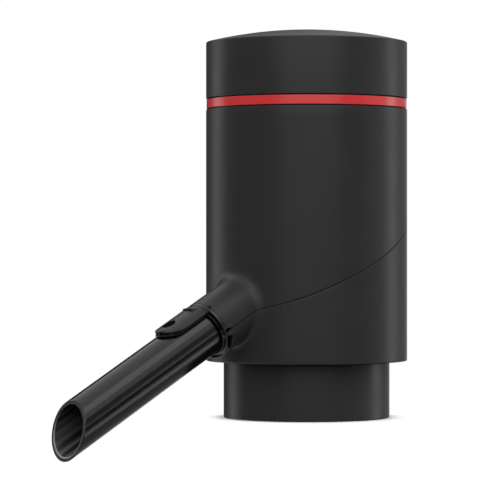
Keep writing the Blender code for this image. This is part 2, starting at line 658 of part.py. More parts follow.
def make_cells(material):
    """Four cells on end, each the other way up from its neighbours."""
    for index in range(CELL_COUNT):
        ends = (CELL_BOTTOM_Z, CELL_TOP_Z)
        profile = [
            (0.0, ends[0]),
            (CELL_RADIUS, ends[0]),
            (CELL_RADIUS, ends[1] - CELL_NUB_HEIGHT),
            (CELL_NUB_RADIUS, ends[1] - CELL_NUB_HEIGHT),
            (CELL_NUB_RADIUS, ends[1]),
            (0.0, ends[1]),
        ]
        if index % 2:
            profile = [(radius, ends[0] + ends[1] - height) for radius, height in reversed(profile)]
        place = on_pitch(CELL_PITCH_RADIUS, QUARTER_TURN * index)
        finish(lathe(f"battery_cell_{index + 1}", profile, SIDES_SMALL, material, place=place))


def make_cell_contacts(plate_material, spring_material):
    for index in range(CELL_COUNT):
        place = on_pitch(CELL_PITCH_RADIUS, QUARTER_TURN * index)
        plate = disc_profile(CELL_RADIUS - FIT_GAP, CAGE_FLOOR_TOP_Z + FIT_GAP, CONTACT_TOP_Z)
        finish(lathe(f"cell_contact_{index + 1}", plate, SIDES_TINY, plate_material, place=place))
        inner_radius = CELL_SPRING_RADIUS - 2 * CELL_SPRING_WIRE
        spring_top = SPRING_BOTTOM_Z + CELL_SPRING_HEIGHT
        spring = ring_profile(inner_radius, CELL_SPRING_RADIUS, SPRING_BOTTOM_Z, spring_top)
        name = f"cell_spring_{index + 1}"
        finish(lathe(name, spring, SIDES_TINY, spring_material, closed=True, place=place))


def make_contact_board(board_material, plate_material):
    """The lid's board, with two plates under it that each link a pair of cells."""
    inner_radius = BUTTON_RADIUS + FIT_GAP + WELL_WALL + FIT_GAP
    outer_radius = CAP_INNER_RADIUS - CONTACT_BOARD_MARGIN
    profile = ring_profile(inner_radius, outer_radius, CONTACT_BOARD_BOTTOM_Z, CONTACT_BOARD_TOP_Z)
    finish(lathe("lid_contact_board", profile, SIDES_MEDIUM, board_material, closed=True))
    length = math.sqrt(2.0) * CELL_PITCH_RADIUS + 2 * CELL_NUB_RADIUS
    outline = box_outline(length, 2 * CELL_NUB_RADIUS)
    for pair in range(2):
        turn = EIGHTH_TURN + math.pi * pair
        lie = Matrix.Rotation(turn + QUARTER_TURN, 4, "Z")
        place = on_pitch(CELL_PITCH_RADIUS / math.sqrt(2.0), turn) @ lie
        top = CAP_CONTACT_BOTTOM_Z + CONTACT_THICKNESS
        finish(prism(f"lid_contact_{pair + 1}", outline, CAP_CONTACT_BOTTOM_Z, top, plate_material, place))


def make_screw(name, place, seat, reach, material):
    """A pan-head screw with a cross recess, whose head stands on seat."""
    bottom = seat + FIT_GAP
    top = bottom + SCREW_HEAD_HEIGHT
    profile = [
        (0.0, bottom - reach),
        (SCREW_SHANK_RADIUS, bottom - reach),
        (SCREW_SHANK_RADIUS, bottom),
        (SCREW_HEAD_RADIUS, bottom),
        (SCREW_HEAD_RADIUS, top - SCREW_HEAD_HEIGHT / 3),
        (SCREW_HEAD_RADIUS - SCREW_HEAD_HEIGHT / 3, top),
        (0.0, top),
    ]
    screw = lathe(name, profile, SIDES_SCREW, material, place=place)
    long_side = SCREW_HEAD_RADIUS * 4 / 3
    for width, depth in ((long_side, SCREW_DRIVE_WIDTH), (SCREW_DRIVE_WIDTH, long_side)):
        outline = box_outline(width, depth)
        cut(screw, prism("drive", outline, top - SCREW_DRIVE_DEPTH, top + CUT_OVERRUN, place=place))
    return finish(screw)


def make_screws(material):
    for corner in range(CELL_COUNT):
        turn = EIGHTH_TURN + QUARTER_TURN * corner
        collar_reach = FLOOR_TOP_Z - WEB_BOTTOM_Z - COLLAR_SCREW_SKIN
        place = on_pitch(COLLAR_SCREW_PITCH, turn)
        make_screw(f"collar_screw_{corner + 1}", place, FLOOR_TOP_Z, collar_reach, material)
        cage_reach = CAGE_FLOOR + CAGE_SCREW_GRIP
        place = on_pitch(CELL_PITCH_RADIUS, turn)
        make_screw(f"cage_screw_{corner + 1}", place, CAGE_FLOOR_TOP_Z, cage_reach, material)
    manifold_reach = MANIFOLD_FLANGE_THICKNESS + FIT_GAP + MANIFOLD_SCREW_GRIP
    for index, side in enumerate((1, -1)):
        place = at(side * MANIFOLD_SCREW_PITCH, 0.0)
        make_screw(f"manifold_screw_{index + 1}", place, FLANGE_TOP_Z, manifold_reach, material)


def elbow_profile():
    """Half a circle about the point where the column meets the spout's axis."""
    points = [(0.0, SPOUT_AXIS_Z - ELBOW_RADIUS)]
    for step in range(1, SIDES_TINY):
        angle = math.pi * step / SIDES_TINY
        points.append((ELBOW_RADIUS * math.sin(angle), SPOUT_AXIS_Z - ELBOW_RADIUS * math.cos(angle)))
    points.append((0.0, SPOUT_AXIS_Z + ELBOW_RADIUS))
    return points


def make_manifold(material):
    """The wine's way up: stem, column, elbow and nozzle in one, with the air's nipple beside them."""
    upright = [
        (0.0, STOPPER_FOOT_Z),
        (WINE_STEM_RADIUS, STOPPER_FOOT_Z),
        (WINE_STEM_RADIUS, FLANGE_BOTTOM_Z),
        (MANIFOLD_FLANGE_RADIUS, FLANGE_BOTTOM_Z),
        (MANIFOLD_FLANGE_RADIUS, FLANGE_TOP_Z),
        (COLUMN_RADIUS, FLANGE_TOP_Z),
        (COLUMN_RADIUS, SPOUT_AXIS_Z - ELBOW_RADIUS / 2),
        (0.0, SPOUT_AXIS_Z - ELBOW_RADIUS / 2),
    ]
    land_radius = BOSS_BORE_RADIUS - FIT_GAP
    groove_radius = NOZZLE_RADIUS - SEAL_GROOVE_DEPTH
    half_groove = SEAL_SECTION / 2 + FIT_GAP
    nozzle = [
        (0.0, 0.0),
        (NOZZLE_RADIUS, 0.0),
        (NOZZLE_RADIUS, NOZZLE_LAND_START),
        (land_radius, NOZZLE_LAND_START),
        (land_radius, NOZZLE_LAND_END),
        (NOZZLE_RADIUS, NOZZLE_LAND_END),
        (NOZZLE_RADIUS, SEAL_REACH - half_groove),
        (groove_radius, SEAL_REACH - half_groove),
        (groove_radius, SEAL_REACH + half_groove),
        (NOZZLE_RADIUS, SEAL_REACH + half_groove),
        (NOZZLE_RADIUS, NOZZLE_END_REACH),
        (0.0, NOZZLE_END_REACH),
    ]
    manifold = lathe("outlet_manifold", upright, SIDES_SMALL, material)
    join(manifold, lathe("elbow", elbow_profile(), SIDES_SMALL))
    join(manifold, lathe("nozzle", nozzle, SIDES_MEDIUM, place=SPOUT_FRAME))
    below = STOPPER_FOOT_Z - CUT_OVERRUN
    nipple_place = at(0.0, NIPPLE_OFFSET)
    nipple_top = FLANGE_TOP_Z + NIPPLE_HEIGHT
    join(manifold, peg(NIPPLE_RADIUS, STOPPER_FOOT_Z, nipple_top, SIDES_TINY, nipple_place))
    cut(manifold, peg(NIPPLE_BORE_RADIUS, below, nipple_top + CUT_OVERRUN, SIDES_TINY, nipple_place))
    cut(manifold, peg(WINE_BORE_RADIUS, below, SPOUT_AXIS_Z, SIDES_TINY))
    bore_end = NOZZLE_END_REACH + CUT_OVERRUN
    cut(manifold, peg(NOZZLE_BORE_RADIUS, -WINE_BORE_RADIUS, bore_end, SIDES_SMALL, SPOUT_FRAME))
    hole_bottom = FLANGE_BOTTOM_Z - CUT_OVERRUN
    hole_top = FLANGE_TOP_Z + CUT_OVERRUN
    for side in (1, -1):
        place = at(side * MANIFOLD_SCREW_PITCH, 0.0)
        cut(manifold, peg(SCREW_SHANK_RADIUS + FIT_GAP, hole_bottom, hole_top, SIDES_TINY, place))
    return finish(manifold)


def make_nozzle_seal(material):
    inner_radius = NOZZLE_RADIUS - SEAL_GROOVE_DEPTH + FIT_GAP
    half = SEAL_SECTION / 2
    profile = ring_profile(inner_radius, SPOUT_BORE_RADIUS - FIT_GAP, SEAL_REACH - half, SEAL_REACH + half)
    return finish(lathe("nozzle_seal", profile, SIDES_MEDIUM, material, closed=True, place=SPOUT_FRAME))


def make_spout_tube(material):
    """The clear pouring tube, cut off at a slant so that its lower lip is the longest."""
    far_reach = SPOUT_TIP_REACH + 2 * SPOUT_RADIUS
    profile = ring_profile(SPOUT_BORE_RADIUS, SPOUT_RADIUS, SPOUT_ROOT_REACH, far_reach)
    tube = lathe("spout_tube", profile, SIDES_MEDIUM, material, closed=True, place=SPOUT_FRAME)
    slant = at(0.0, 0.0, SPOUT_TIP_REACH) @ Matrix.Rotation(-SPOUT_TIP_SLANT, 4, "X")
    waste_side = 8 * SPOUT_RADIUS
    waste = prism("waste", box_outline(waste_side, waste_side), 0.0, waste_side, place=SPOUT_FRAME @ slant)
    cut(tube, waste)
    move_origin(tube, SPOUT_FRAME @ Vector((0.0, 0.0, SPOUT_ROOT_REACH)))
    return finish(tube)


def make_socket_ring(material):
    front = SOCKET_RING_REACH + SOCKET_RING_LENGTH
    profile = [
        (BOSS_BORE_RADIUS, SOCKET_RING_REACH),
        (BOSS_RADIUS, SOCKET_RING_REACH),
        (BOSS_RADIUS, front - SOCKET_RING_CHAMFER),
        (BOSS_RADIUS - SOCKET_RING_CHAMFER, front),
        (BOSS_BORE_RADIUS, front),
    ]
    return finish(lathe("socket_ring", profile, SIDES_MEDIUM, material, closed=True, place=SPOUT_FRAME))


def tab_end_reach(angle):
    """Where the tab ends at an angle off its middle line: its end is half an ellipse."""
    share = min(1.0, abs(angle) / TAB_HALF_ANGLE)
    return TAB_ROOT_REACH + TAB_LENGTH - TAB_END_CURVE * (1.0 - math.sqrt(1.0 - share ** 2))


def make_release_tab(material):
    """The curved tongue over the spout's root, with a ramped rib across it and an oval hole."""
    rib_start = TAB_ROOT_REACH + TAB_RIB_START
    rib_crest = TAB_ROOT_REACH + TAB_RIB_REACH
    rib_end = rib_crest + TAB_RIB_DROP
    builder = bmesh.new()
    columns = []
    for step in range(SIDES_TINY + 1):
        angle = -TAB_HALF_ANGLE * math.cos(math.pi * step / SIDES_TINY)
        end = tab_end_reach(angle)
        rib_height = TAB_RIB_HEIGHT if abs(angle) < TAB_RIB_HALF_ANGLE else 0.0
        loop = [
            (TAB_INNER_RADIUS, TAB_ROOT_REACH),
            (BOSS_RADIUS, TAB_ROOT_REACH),
            (BOSS_RADIUS, rib_start),
            (BOSS_RADIUS + rib_height, rib_crest),
            (BOSS_RADIUS, rib_end),
            (BOSS_RADIUS, end),
            (TAB_INNER_RADIUS, end),
        ]
        corners = [polar(radius, QUARTER_TURN + angle, reach) for radius, reach in loop]
        columns.append([builder.verts.new(corner) for corner in corners])
    for column, after in zip(columns, columns[1:]):
        for row in range(len(column)):
            below = (row + 1) % len(column)
            builder.faces.new((column[row], column[below], after[below], after[row]))
    builder.faces.new(columns[0])
    builder.faces.new(columns[-1])
    builder.transform(SPOUT_FRAME)
    tab = add_object("release_tab", builder, material)
    outline = []
    for side in range(SIDES_SMALL):
        angle = turn_of(side, SIDES_SMALL)
        outline.append((TAB_HOLE_WIDTH / 2 * math.cos(angle), TAB_HOLE_LENGTH / 2 * math.sin(angle)))
    upright = Matrix.Rotation(-QUARTER_TURN, 4, "X")
    place = SPOUT_FRAME @ at(0.0, 0.0, TAB_ROOT_REACH + TAB_HOLE_REACH) @ upright
    bottom = TAB_INNER_RADIUS - CUT_OVERRUN
    cut(tab, prism("hole", outline, bottom, BOSS_RADIUS + CUT_OVERRUN, place=place))
    move_origin(tab, SPOUT_FRAME @ Vector((0.0, TAB_INNER_RADIUS, TAB_ROOT_REACH)))
    return finish(tab)


def make_pump_head(material):
    head = peg(PUMP_RADIUS, PUMP_BOTTOM_Z, PUMP_HEAD_TOP_Z, SIDES_MEDIUM)
    head.name = "pump_head"
    head.data.materials.append(material)
    place = at(0.0, PUMP_OUTLET_OFFSET)
    outlet_end = PUMP_BOTTOM_Z - PUMP_OUTLET_DROP
    outlet_root = PUMP_HEAD_TOP_Z - PUMP_HEAD_HEIGHT / 2
    join(head, peg(NIPPLE_RADIUS, outlet_end, outlet_root, SIDES_TINY, place))
    bore_bottom = outlet_end - CUT_OVERRUN
    bore_top = PUMP_HEAD_TOP_Z + CUT_OVERRUN
    cut(head, peg(NIPPLE_BORE_RADIUS, bore_bottom, bore_top, SIDES_TINY, place))
    return finish(head)


def make_diaphragm(material):
    bottom = PUMP_HEAD_TOP_Z + FIT_GAP
    profile = [
        (0.0, bottom),
        (PUMP_RADIUS, bottom),
        (PUMP_RADIUS, DIAPHRAGM_TOP_Z),
        (DIAPHRAGM_STALK_RADIUS, DIAPHRAGM_TOP_Z),
        (DIAPHRAGM_STALK_RADIUS, DIAPHRAGM_TOP_Z + DIAPHRAGM_STALK_HEIGHT),
        (0.0, DIAPHRAGM_TOP_Z + DIAPHRAGM_STALK_HEIGHT),
    ]
    return finish(lathe("pump_diaphragm", profile, SIDES_MEDIUM, material))


def make_crank_case(material):
    inner_radius = PUMP_RADIUS - CRANK_CASE_WALL
    ceiling = CRANK_TOP_Z - CRANK_CASE_WALL
    hole_radius = SHAFT_RADIUS + FIT_GAP
    profile = [
        (inner_radius, CRANK_BOTTOM_Z),
        (PUMP_RADIUS, CRANK_BOTTOM_Z),
        (PUMP_RADIUS, CRANK_TOP_Z),
        (hole_radius, CRANK_TOP_Z),
        (hole_radius, ceiling),
        (inner_radius, ceiling),
    ]
    return finish(lathe("pump_crank_case", profile, SIDES_MEDIUM, material, closed=True))


def make_motor(material):
    profile = [(0.0, MOTOR_BOTTOM_Z)]
    profile += rounded_corner(PUMP_RADIUS, MOTOR_BOTTOM_Z, MOTOR_EDGE_ROUND, -QUARTER_TURN)
    profile += rounded_corner(PUMP_RADIUS, MOTOR_TOP_Z, MOTOR_EDGE_ROUND, 0.0)
    profile += [
        (MOTOR_CAP_RADIUS, MOTOR_TOP_Z),
        (MOTOR_CAP_RADIUS, MOTOR_TOP_Z + MOTOR_CAP_HEIGHT),
        (0.0, MOTOR_TOP_Z + MOTOR_CAP_HEIGHT),
    ]
    motor = lathe("pump_motor", profile, SIDES_MEDIUM, material)
    bore_top = MOTOR_BOTTOM_Z + SHAFT_DEPTH_IN_MOTOR + FIT_GAP
    cut(motor, peg(SHAFT_RADIUS + FIT_GAP, MOTOR_BOTTOM_Z - CUT_OVERRUN, bore_top, SIDES_TINY))
    return finish(motor)


def make_rotor(shaft_material, cam_material):
    """The motor's shaft, and the off-centre cam on it that works the diaphragm."""
    profile = disc_profile(SHAFT_RADIUS, CAM_BOTTOM_Z, MOTOR_BOTTOM_Z + SHAFT_DEPTH_IN_MOTOR)
    finish(lathe("motor_shaft", profile, SIDES_TINY, shaft_material))
    cam = peg(CAM_RADIUS, CAM_BOTTOM_Z, CAM_BOTTOM_Z + CAM_THICKNESS, SIDES_SMALL, at(CAM_THROW, 0.0))
    cam.name = "eccentric_cam"
    cam.data.materials.append(cam_material)
    cam_top = CAM_BOTTOM_Z + CAM_THICKNESS + CUT_OVERRUN
    cut(cam, peg(SHAFT_RADIUS + FIT_GAP, CAM_BOTTOM_Z - CUT_OVERRUN, cam_top, SIDES_TINY))
    finish(cam)


def sweep(name, path, section, sides, material):
    """Carry a ring section (inner and outer radius, inner 0 for a solid) along a path in the YZ plane."""
    inner, outer = section
    builder = bmesh.new()
    layers = []
    for index, point in enumerate(path):
        before = path[max(index - 1, 0)]
        after = path[min(index + 1, len(path) - 1)]
        along = (after - before).normalized()
        side_way = along.cross(SPOUT_ACROSS)
        layer = []
        for radius in ((outer, inner) if inner else (outer,)):
            ring = []
            for side in range(sides):
                angle = turn_of(side, sides)
                offset = radius * (math.cos(angle) * SPOUT_ACROSS + math.sin(angle) * side_way)
                ring.append(builder.verts.new(point + offset))
            layer.append(ring)
        layers.append(layer)
    for low, high in zip(layers, layers[1:]):
        for low_ring, high_ring in zip(low, high):
            bridge_rings(builder, low_ring, high_ring)
    for layer in (layers[0], layers[-1]):
        if inner:
            bridge_rings(builder, layer[0], layer[1])
        else:
            builder.faces.new(layer[0])
    return finish(add_object(name, builder, material))


def bridge_rings(builder, low_ring, high_ring):
    for side in range(len(low_ring)):
        after = (side + 1) % len(low_ring)
        builder.faces.new((low_ring[side], low_ring[after], high_ring[after], high_ring[side]))


def make_air_hose(material):
    """From the pump's outlet down to the manifold's nipple, shifted across in one smooth double bend."""
    bottom = FLANGE_TOP_Z + FIT_GAP
    top = CAGE_BOTTOM_Z - FIT_GAP
    bend_start = FLANGE_TOP_Z + NIPPLE_HEIGHT
    bend_end = PUMP_BOTTOM_Z - PUMP_OUTLET_DROP
    path = [Vector((0.0, NIPPLE_OFFSET, bottom))]
    for step in range(HOSE_STEPS + 1):
        share = step / HOSE_STEPS
        shift = share ** 2 * (3.0 - 2.0 * share)
        bulge = HOSE_BULGE * math.sin(math.pi * share) ** 2
        offset = NIPPLE_OFFSET + (PUMP_OUTLET_OFFSET - NIPPLE_OFFSET) * shift + bulge
        path.append(Vector((0.0, offset, bend_start + (bend_end - bend_start) * share)))
    path.append(Vector((0.0, PUMP_OUTLET_OFFSET, top)))
    return sweep("air_hose", path, (HOSE_INNER_RADIUS, HOSE_OUTER_RADIUS), SIDES_TINY, material)


def make_leads(material):
    """Two short leads from the motor's end up to the control board."""
    bottom = MOTOR_TOP_Z + FIT_GAP
    top = BOARD_BOTTOM_Z - FIT_GAP
    for index, side in enumerate((1, -1)):
        path = []
        for step in range(LEAD_STEPS + 1):
            share = step / LEAD_STEPS
            sway = LEAD_RADIUS * math.sin(math.pi * share) ** 2
            path.append(Vector((0.0, side * (LEAD_OFFSET + sway), bottom + (top - bottom) * share)))
        sweep(f"motor_lead_{index + 1}", path, (0.0, LEAD_RADIUS), SIDES_TINY, material)


def make_control_board(board_material, switch_material):
    radius = PUMP_WELL_RADIUS + BOARD_LEDGE - FIT_GAP
    profile = disc_profile(radius, BOARD_BOTTOM_Z, BOARD_TOP_Z)
    finish(lathe("control_board", profile, SIDES_MEDIUM, board_material))
    outline = box_outline(SWITCH_SIDE, SWITCH_SIDE)
    body_top = SWITCH_BOTTOM_Z + SWITCH_HEIGHT
    switch = prism("button_switch", outline, SWITCH_BOTTOM_Z, body_top, switch_material)
    join(switch, peg(SWITCH_PLUNGER_RADIUS, body_top - SWITCH_HEIGHT / 2, SWITCH_TOP_Z, SIDES_TINY))
    finish(switch)


def build():
    clear_scene()
    soft_black = make_material("soft_touch_black", (0.030, 0.030, 0.031), 0.55)
    red = make_material("gloss_red", (0.50, 0.035, 0.040), 0.25)
    smoke = make_material("smoked_acrylic", (0.020, 0.020, 0.022), 0.06, alpha=0.6)
    inner_black = make_material("moulded_black", (0.012, 0.012, 0.013), 0.35)
    rubber = make_material("silicone_grey", (0.060, 0.060, 0.065), 0.60)
    frame_white = make_material("moulded_natural", (0.55, 0.54, 0.50), 0.45)
    steel = make_material("plated_steel", (0.62, 0.62, 0.60), 0.30, metallic=1.0)
    cell_wrap = make_material("cell_wrap", (0.08, 0.16, 0.10), 0.30)
    board_green = make_material("board_laminate", (0.02, 0.16, 0.07), 0.40)
    lead_red = make_material("lead_insulation", (0.45, 0.03, 0.03), 0.45)

    make_collar(soft_black)
    make_gasket(rubber)
    make_stopper(rubber)
    make_lower_shell(soft_black)
    make_upper_shell(soft_black)
    make_accent_ring(red)
    make_battery_cap(soft_black)
    make_push_button(soft_black)
    make_button_spring(steel)
    make_battery_cage(frame_white)
    make_cells(cell_wrap)
    make_cell_contacts(steel, steel)
    make_contact_board(board_green, steel)
    make_screws(steel)
    make_manifold(inner_black)
    make_nozzle_seal(rubber)
    make_spout_tube(smoke)
    make_socket_ring(inner_black)
    make_release_tab(inner_black)
    make_pump_head(inner_black)
    make_diaphragm(rubber)
    make_crank_case(frame_white)
    make_motor(steel)
    make_rotor(steel, frame_white)
    make_air_hose(rubber)
    make_leads(lead_red)
    make_control_board(board_green, inner_black)


build()
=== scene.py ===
"""The wine dispenser as it looks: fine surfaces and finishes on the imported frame.

Metres, +Z up, with the origin on the head's axis at the foot of the collar. The spout points along -Y.
"""

import json
import math

import bmesh
import bpy
import numpy as np
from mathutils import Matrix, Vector


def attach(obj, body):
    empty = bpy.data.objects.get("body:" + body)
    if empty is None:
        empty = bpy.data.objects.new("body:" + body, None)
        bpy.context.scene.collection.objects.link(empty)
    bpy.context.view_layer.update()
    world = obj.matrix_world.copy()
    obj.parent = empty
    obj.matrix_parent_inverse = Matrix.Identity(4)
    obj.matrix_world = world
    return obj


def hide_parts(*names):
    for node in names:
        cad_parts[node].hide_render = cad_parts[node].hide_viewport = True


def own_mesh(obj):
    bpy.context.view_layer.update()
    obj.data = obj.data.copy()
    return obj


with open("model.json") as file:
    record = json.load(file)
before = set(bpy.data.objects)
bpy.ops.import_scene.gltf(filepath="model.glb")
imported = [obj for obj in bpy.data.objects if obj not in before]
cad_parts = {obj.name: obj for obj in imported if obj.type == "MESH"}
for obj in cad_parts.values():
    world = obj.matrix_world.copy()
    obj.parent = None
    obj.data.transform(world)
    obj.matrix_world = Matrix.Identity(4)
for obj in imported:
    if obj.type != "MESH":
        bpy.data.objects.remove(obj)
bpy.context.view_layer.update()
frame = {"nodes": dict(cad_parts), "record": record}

MM = 0.001

# Clearances between pieces, and how the small edges are rounded
FIT_GAP = 0.3 * MM
CUT_OVERRUN = 1.0 * MM
WELD_DISTANCE = 0.002 * MM
EDGE_ROUND = 0.12 * MM
SOFT_EDGE_ROUND = 0.3 * MM
EDGE_ROUND_STEPS = 3
BEVEL_ANGLE = math.radians(40.0)
SHADING_ANGLE = math.radians(38.0)
CORNER_STEPS = 6
CORNER_SHARE = 0.45
SUPPORT_SHARE = 0.25
SUPPORT_ROOM = 3

# Head
BODY_RADIUS = 28.0 * MM
BODY_INNER_RADIUS = 26.0 * MM
BODY_BOTTOM_Z = 15.75 * MM
FLOOR_TOP_Z = 17.75 * MM
SHELL_TOP_Z = 85.6 * MM
BODY_EDGE_ROUND = 0.4 * MM
SPIGOT_RADIUS = 26.8 * MM
SPIGOT_TOP_Z = 92.0 * MM
RING_RADIUS = 27.87 * MM
RING_INNER_RADIUS = 27.1 * MM
RING_BOTTOM_Z = 85.9 * MM
RING_TOP_Z = 88.4 * MM
CAP_BOTTOM_Z = 88.7 * MM
RIM_Z = 104.4 * MM
DOME_RISE = 3.3 * MM
CAP_WALL = 2.0 * MM
CAP_INNER_RADIUS = 27.1 * MM
CAP_PEG_RADIUS = 1.0 * MM
CONTACT_BOARD_TOP_Z = 102.1 * MM

# Collar and what seals the bottle
COLLAR_RADIUS = 23.09 * MM
COLLAR_INNER_RADIUS = 20.89 * MM
FLOOR_SUPPORT_RADIUS = COLLAR_RADIUS + 2 * MM
COLLAR_ROUNDINGS = np.array([0.2, 0.8, 0.3, 0.4, 0.2, 0.2]) * MM
WEB_BOTTOM_Z = 12.45 * MM
WEB_TOP_Z = 15.45 * MM
SCREW_SKIN = 0.4 * MM
STEM_HOLE_RADIUS = 3.4 * MM
GASKET_RADIUS = 17.5 * MM
GASKET_INNER_RADIUS = 9.8 * MM
GASKET_BOTTOM_Z = 10.65 * MM
GASKET_GROOVES = (12.0 * MM, 13.65 * MM, 15.3 * MM)
GASKET_GROOVE_HALF_WIDTH = 0.4 * MM
GASKET_GROOVE_DEPTH = 0.35 * MM
STOPPER_FOOT_Z = 1.5 * MM
STOPPER_TOP_Z = WEB_BOTTOM_Z - FIT_GAP
STOPPER_CORE_RADIUS = 8.5 * MM
STOPPER_TAPER = 0.8 * MM
STOPPER_TAPER_HEIGHT = 1.0 * MM
STOPPER_RADIUS = 9.3 * MM
STOPPER_RIBS = 3
RIB_HALF_FOOT = 0.8 * MM
RIB_HALF_CREST = 0.25 * MM

# Spout: its axis meets the head's axis at SPOUT_AXIS_Z and falls away from it. Its frame has X across, Y up
# across the tube and Z along it to the tip.
SPOUT_AXIS_Z = 44.5 * MM
SPOUT_FALL = math.radians(26.8)
SPOUT_UP = np.array([0.0, -math.sin(SPOUT_FALL), math.cos(SPOUT_FALL)])
SPOUT_ALONG = np.array([0.0, -math.cos(SPOUT_FALL), -math.sin(SPOUT_FALL)])
SPOUT_ORIGIN = np.array([0.0, 0.0, SPOUT_AXIS_Z])
TUBE_RADIUS = 6.39 * MM
TUBE_INNER_RADIUS = 5.49 * MM
TUBE_ROOT = 41.0 * MM
TUBE_TIP = 98.2 * MM
TUBE_ROUNDINGS = np.array([0.15, 0.15, 0.25, 0.45]) * MM
TIP_SLANT = math.radians(37.6)
SEAM_DROP = 0.3 * MM
SEAM_GAP = 0.2 * MM

# Boss of the spout. Its end steps back for a slot, forward for a lug in it, and back for a notch by the tab.
# Each step has its angles, in degrees round the spout's axis from +X over the top, and the end it gives.
BOSS_RADIUS = 8.0 * MM
BOSS_FOOT_RADIUS = 10.4 * MM
BOSS_FILLET = 2.4 * MM
BOSS_BORE_RADIUS = 7.2 * MM
BOSS_END = 43.02 * MM
SLOT_ANGLES = (-57.0, 3.0)
BOSS_STEPS = ((SLOT_ANGLES, 41.5 * MM), ((-11.0, -5.0), 43.45 * MM), ((57.5, 62.5), 42.2 * MM))
SLOT_END = 43.75 * MM

# Ring that closes the boss, whose walls are given at their edge and at their foot
SOCKET_RING_START = 43.1 * MM
SOCKET_RING_END = 44.1 * MM
SOCKET_RING_ROUND = 0.09 * MM
SOCKET_FLOOR = SOCKET_RING_START + 0.2 * MM
SOCKET_WALL = (0.2 * MM, 0.25 * MM)
SOCKET_LIP_RADIUS = 6.68 * MM
SOCKET_LIP_WALL = (0.24 * MM, 0.3 * MM)
SOCKET_LIP_FOOT = SOCKET_RING_START + 0.15 * MM
SOCKET_LIP_END = 44.5 * MM
SOCKET_SLOT_RADII = (BOSS_RADIUS - 0.6 * MM, BOSS_RADIUS + 0.3 * MM)

# Release tab over the spout's root
TAB_ROOT = 44.3 * MM
TAB_ROOT_UNDER = 44.75 * MM
TAB_END = 59.5 * MM
TAB_END_CURVE = 6.0 * MM
TAB_TIP_ROUND = 0.8 * MM
TAB_EDGE_ROUND = 0.14 * MM
TAB_LIP = 0.45 * MM
TAB_LIP_RADIUS = 6.9 * MM
TAB_HALF_ANGLE = math.radians(37.0)
TAB_INNER_RADIUS = 6.54 * MM
TAB_RIB_ROWS = (45.2 * MM, 46.9 * MM, 47.2 * MM)
TAB_CREST_ROW = 2
TAB_RIB_HEIGHT = 0.6 * MM
TAB_RIB_HALF_ANGLE = math.radians(14.0)
TAB_RIB_FADE = math.radians(1.0)
TAB_HOLE_AT = 54.7 * MM
TAB_HOLE_LENGTH = 4.2 * MM
TAB_HOLE_WIDTH = 3.3 * MM
TAB_POCKETS = ((2.0, 12.0), (15.5, 22.0), (25.7, 35.5))
TAB_POCKET_DEPTH = 1.4 * MM
TAB_POCKET_RADII = (TAB_LIP_RADIUS + 0.02 * MM, BOSS_RADIUS - 0.45 * MM)

# Button
BUTTON_RADIUS = 8.4 * MM
BUTTON_THICKNESS = 1.8 * MM
BUTTON_STEM_RADIUS = 2.5 * MM
BUTTON_BARB_RADIUS = 3.3 * MM
BUTTON_BARB_BOTTOM_Z = 99.4 * MM
BUTTON_BARB_TOP_Z = 101.2 * MM
WELL_FLOOR_Z = 101.5 * MM
WELL_FLOOR_TOP_Z = 102.7 * MM
WELL_WALL = 1.5 * MM
WELL_EDGE_ROUND = 0.25 * MM

# Manifold with its nozzle and seal, and the posts and screws inside the head
FLANGE_BOTTOM_Z = 18.05 * MM
FLANGE_TOP_Z = 20.05 * MM
FLANGE_RADIUS = 10.5 * MM
STEM_RADIUS = 3.1 * MM
COLUMN_RADIUS = 3.4 * MM
ELBOW_RADIUS = 5.4 * MM
WINE_BORE_RADIUS = 2.0 * MM
NIPPLE_RADIUS = 1.2 * MM
NIPPLE_HOLE_RADIUS = 1.5 * MM
NIPPLE_PLACE = [(0.0, 6.2 * MM)]
NIPPLE_TOP_Z = 25.55 * MM
MANIFOLD_ROUND = 0.25 * MM
LAND_START = 31.0 * MM
LAND_END = 40.7 * MM
LAND_RADIUS = 6.9 * MM
NOZZLE_RADIUS = 5.1 * MM
NOZZLE_BORE_RADIUS = 3.0 * MM
NOZZLE_GROOVE_RADIUS = 3.8 * MM
NOZZLE_END = 58.7 * MM
SEAL_AT = 50.0 * MM
SEAL_RADIUS = 4.645 * MM
SEAL_SECTION_RADIUS = 0.545 * MM
POST_RADIUS = 2.6 * MM
POST_TOP_Z = 50.2 * MM
POST_HOLE_DEPTH = 8.0 * MM
SCREW_HOLE_RADIUS = 1.2 * MM
COLLAR_SCREW_PITCH = 13.5 * MM
MANIFOLD_SCREWS = [(7.6 * MM, 0.0), (-7.6 * MM, 0.0)]

# Cells round the motor, at CELL_PITCH from the head's axis. A spring's wire runs from one radius and height
# to another in a number of turns.
CELL_COUNT = 4
CELL_PITCH = 19.2 * MM
CELL_RADIUS = 5.25 * MM
CELL_LENGTH = 44.5 * MM
CELL_BOTTOM_Z = 55.6 * MM
CELL_STEEL_RADIUS = 4.3 * MM
CELL_RIM = 0.1 * MM
CELL_GROOVE_DEPTH = 0.2 * MM
CELL_GROOVE_RADII = (CELL_STEEL_RADIUS - 0.4 * MM, CELL_STEEL_RADIUS - 0.3 * MM)
CELL_NUB_RADIUS = 1.9 * MM
CELL_NUB_FOOT_RADIUS = 2.4 * MM
CELL_NUB_HEIGHT = 1.0 * MM
CELL_ROUNDINGS = np.array([0, 0.1, 0.1, 0.05, 0.1, 0.5, 0.5, 0.1, 0.05, 0.2, 0.2, 0.3, 0]) * MM
SPRING_WIRE_RADIUS = 0.25 * MM
CELL_SPRING = ((2.75 * MM, 53.75 * MM), (2.25 * MM, 55.05 * MM), 2.25)
BUTTON_SPRING = ((4.65 * MM, 103.25 * MM), (4.65 * MM, 105.04 * MM), 2.75)

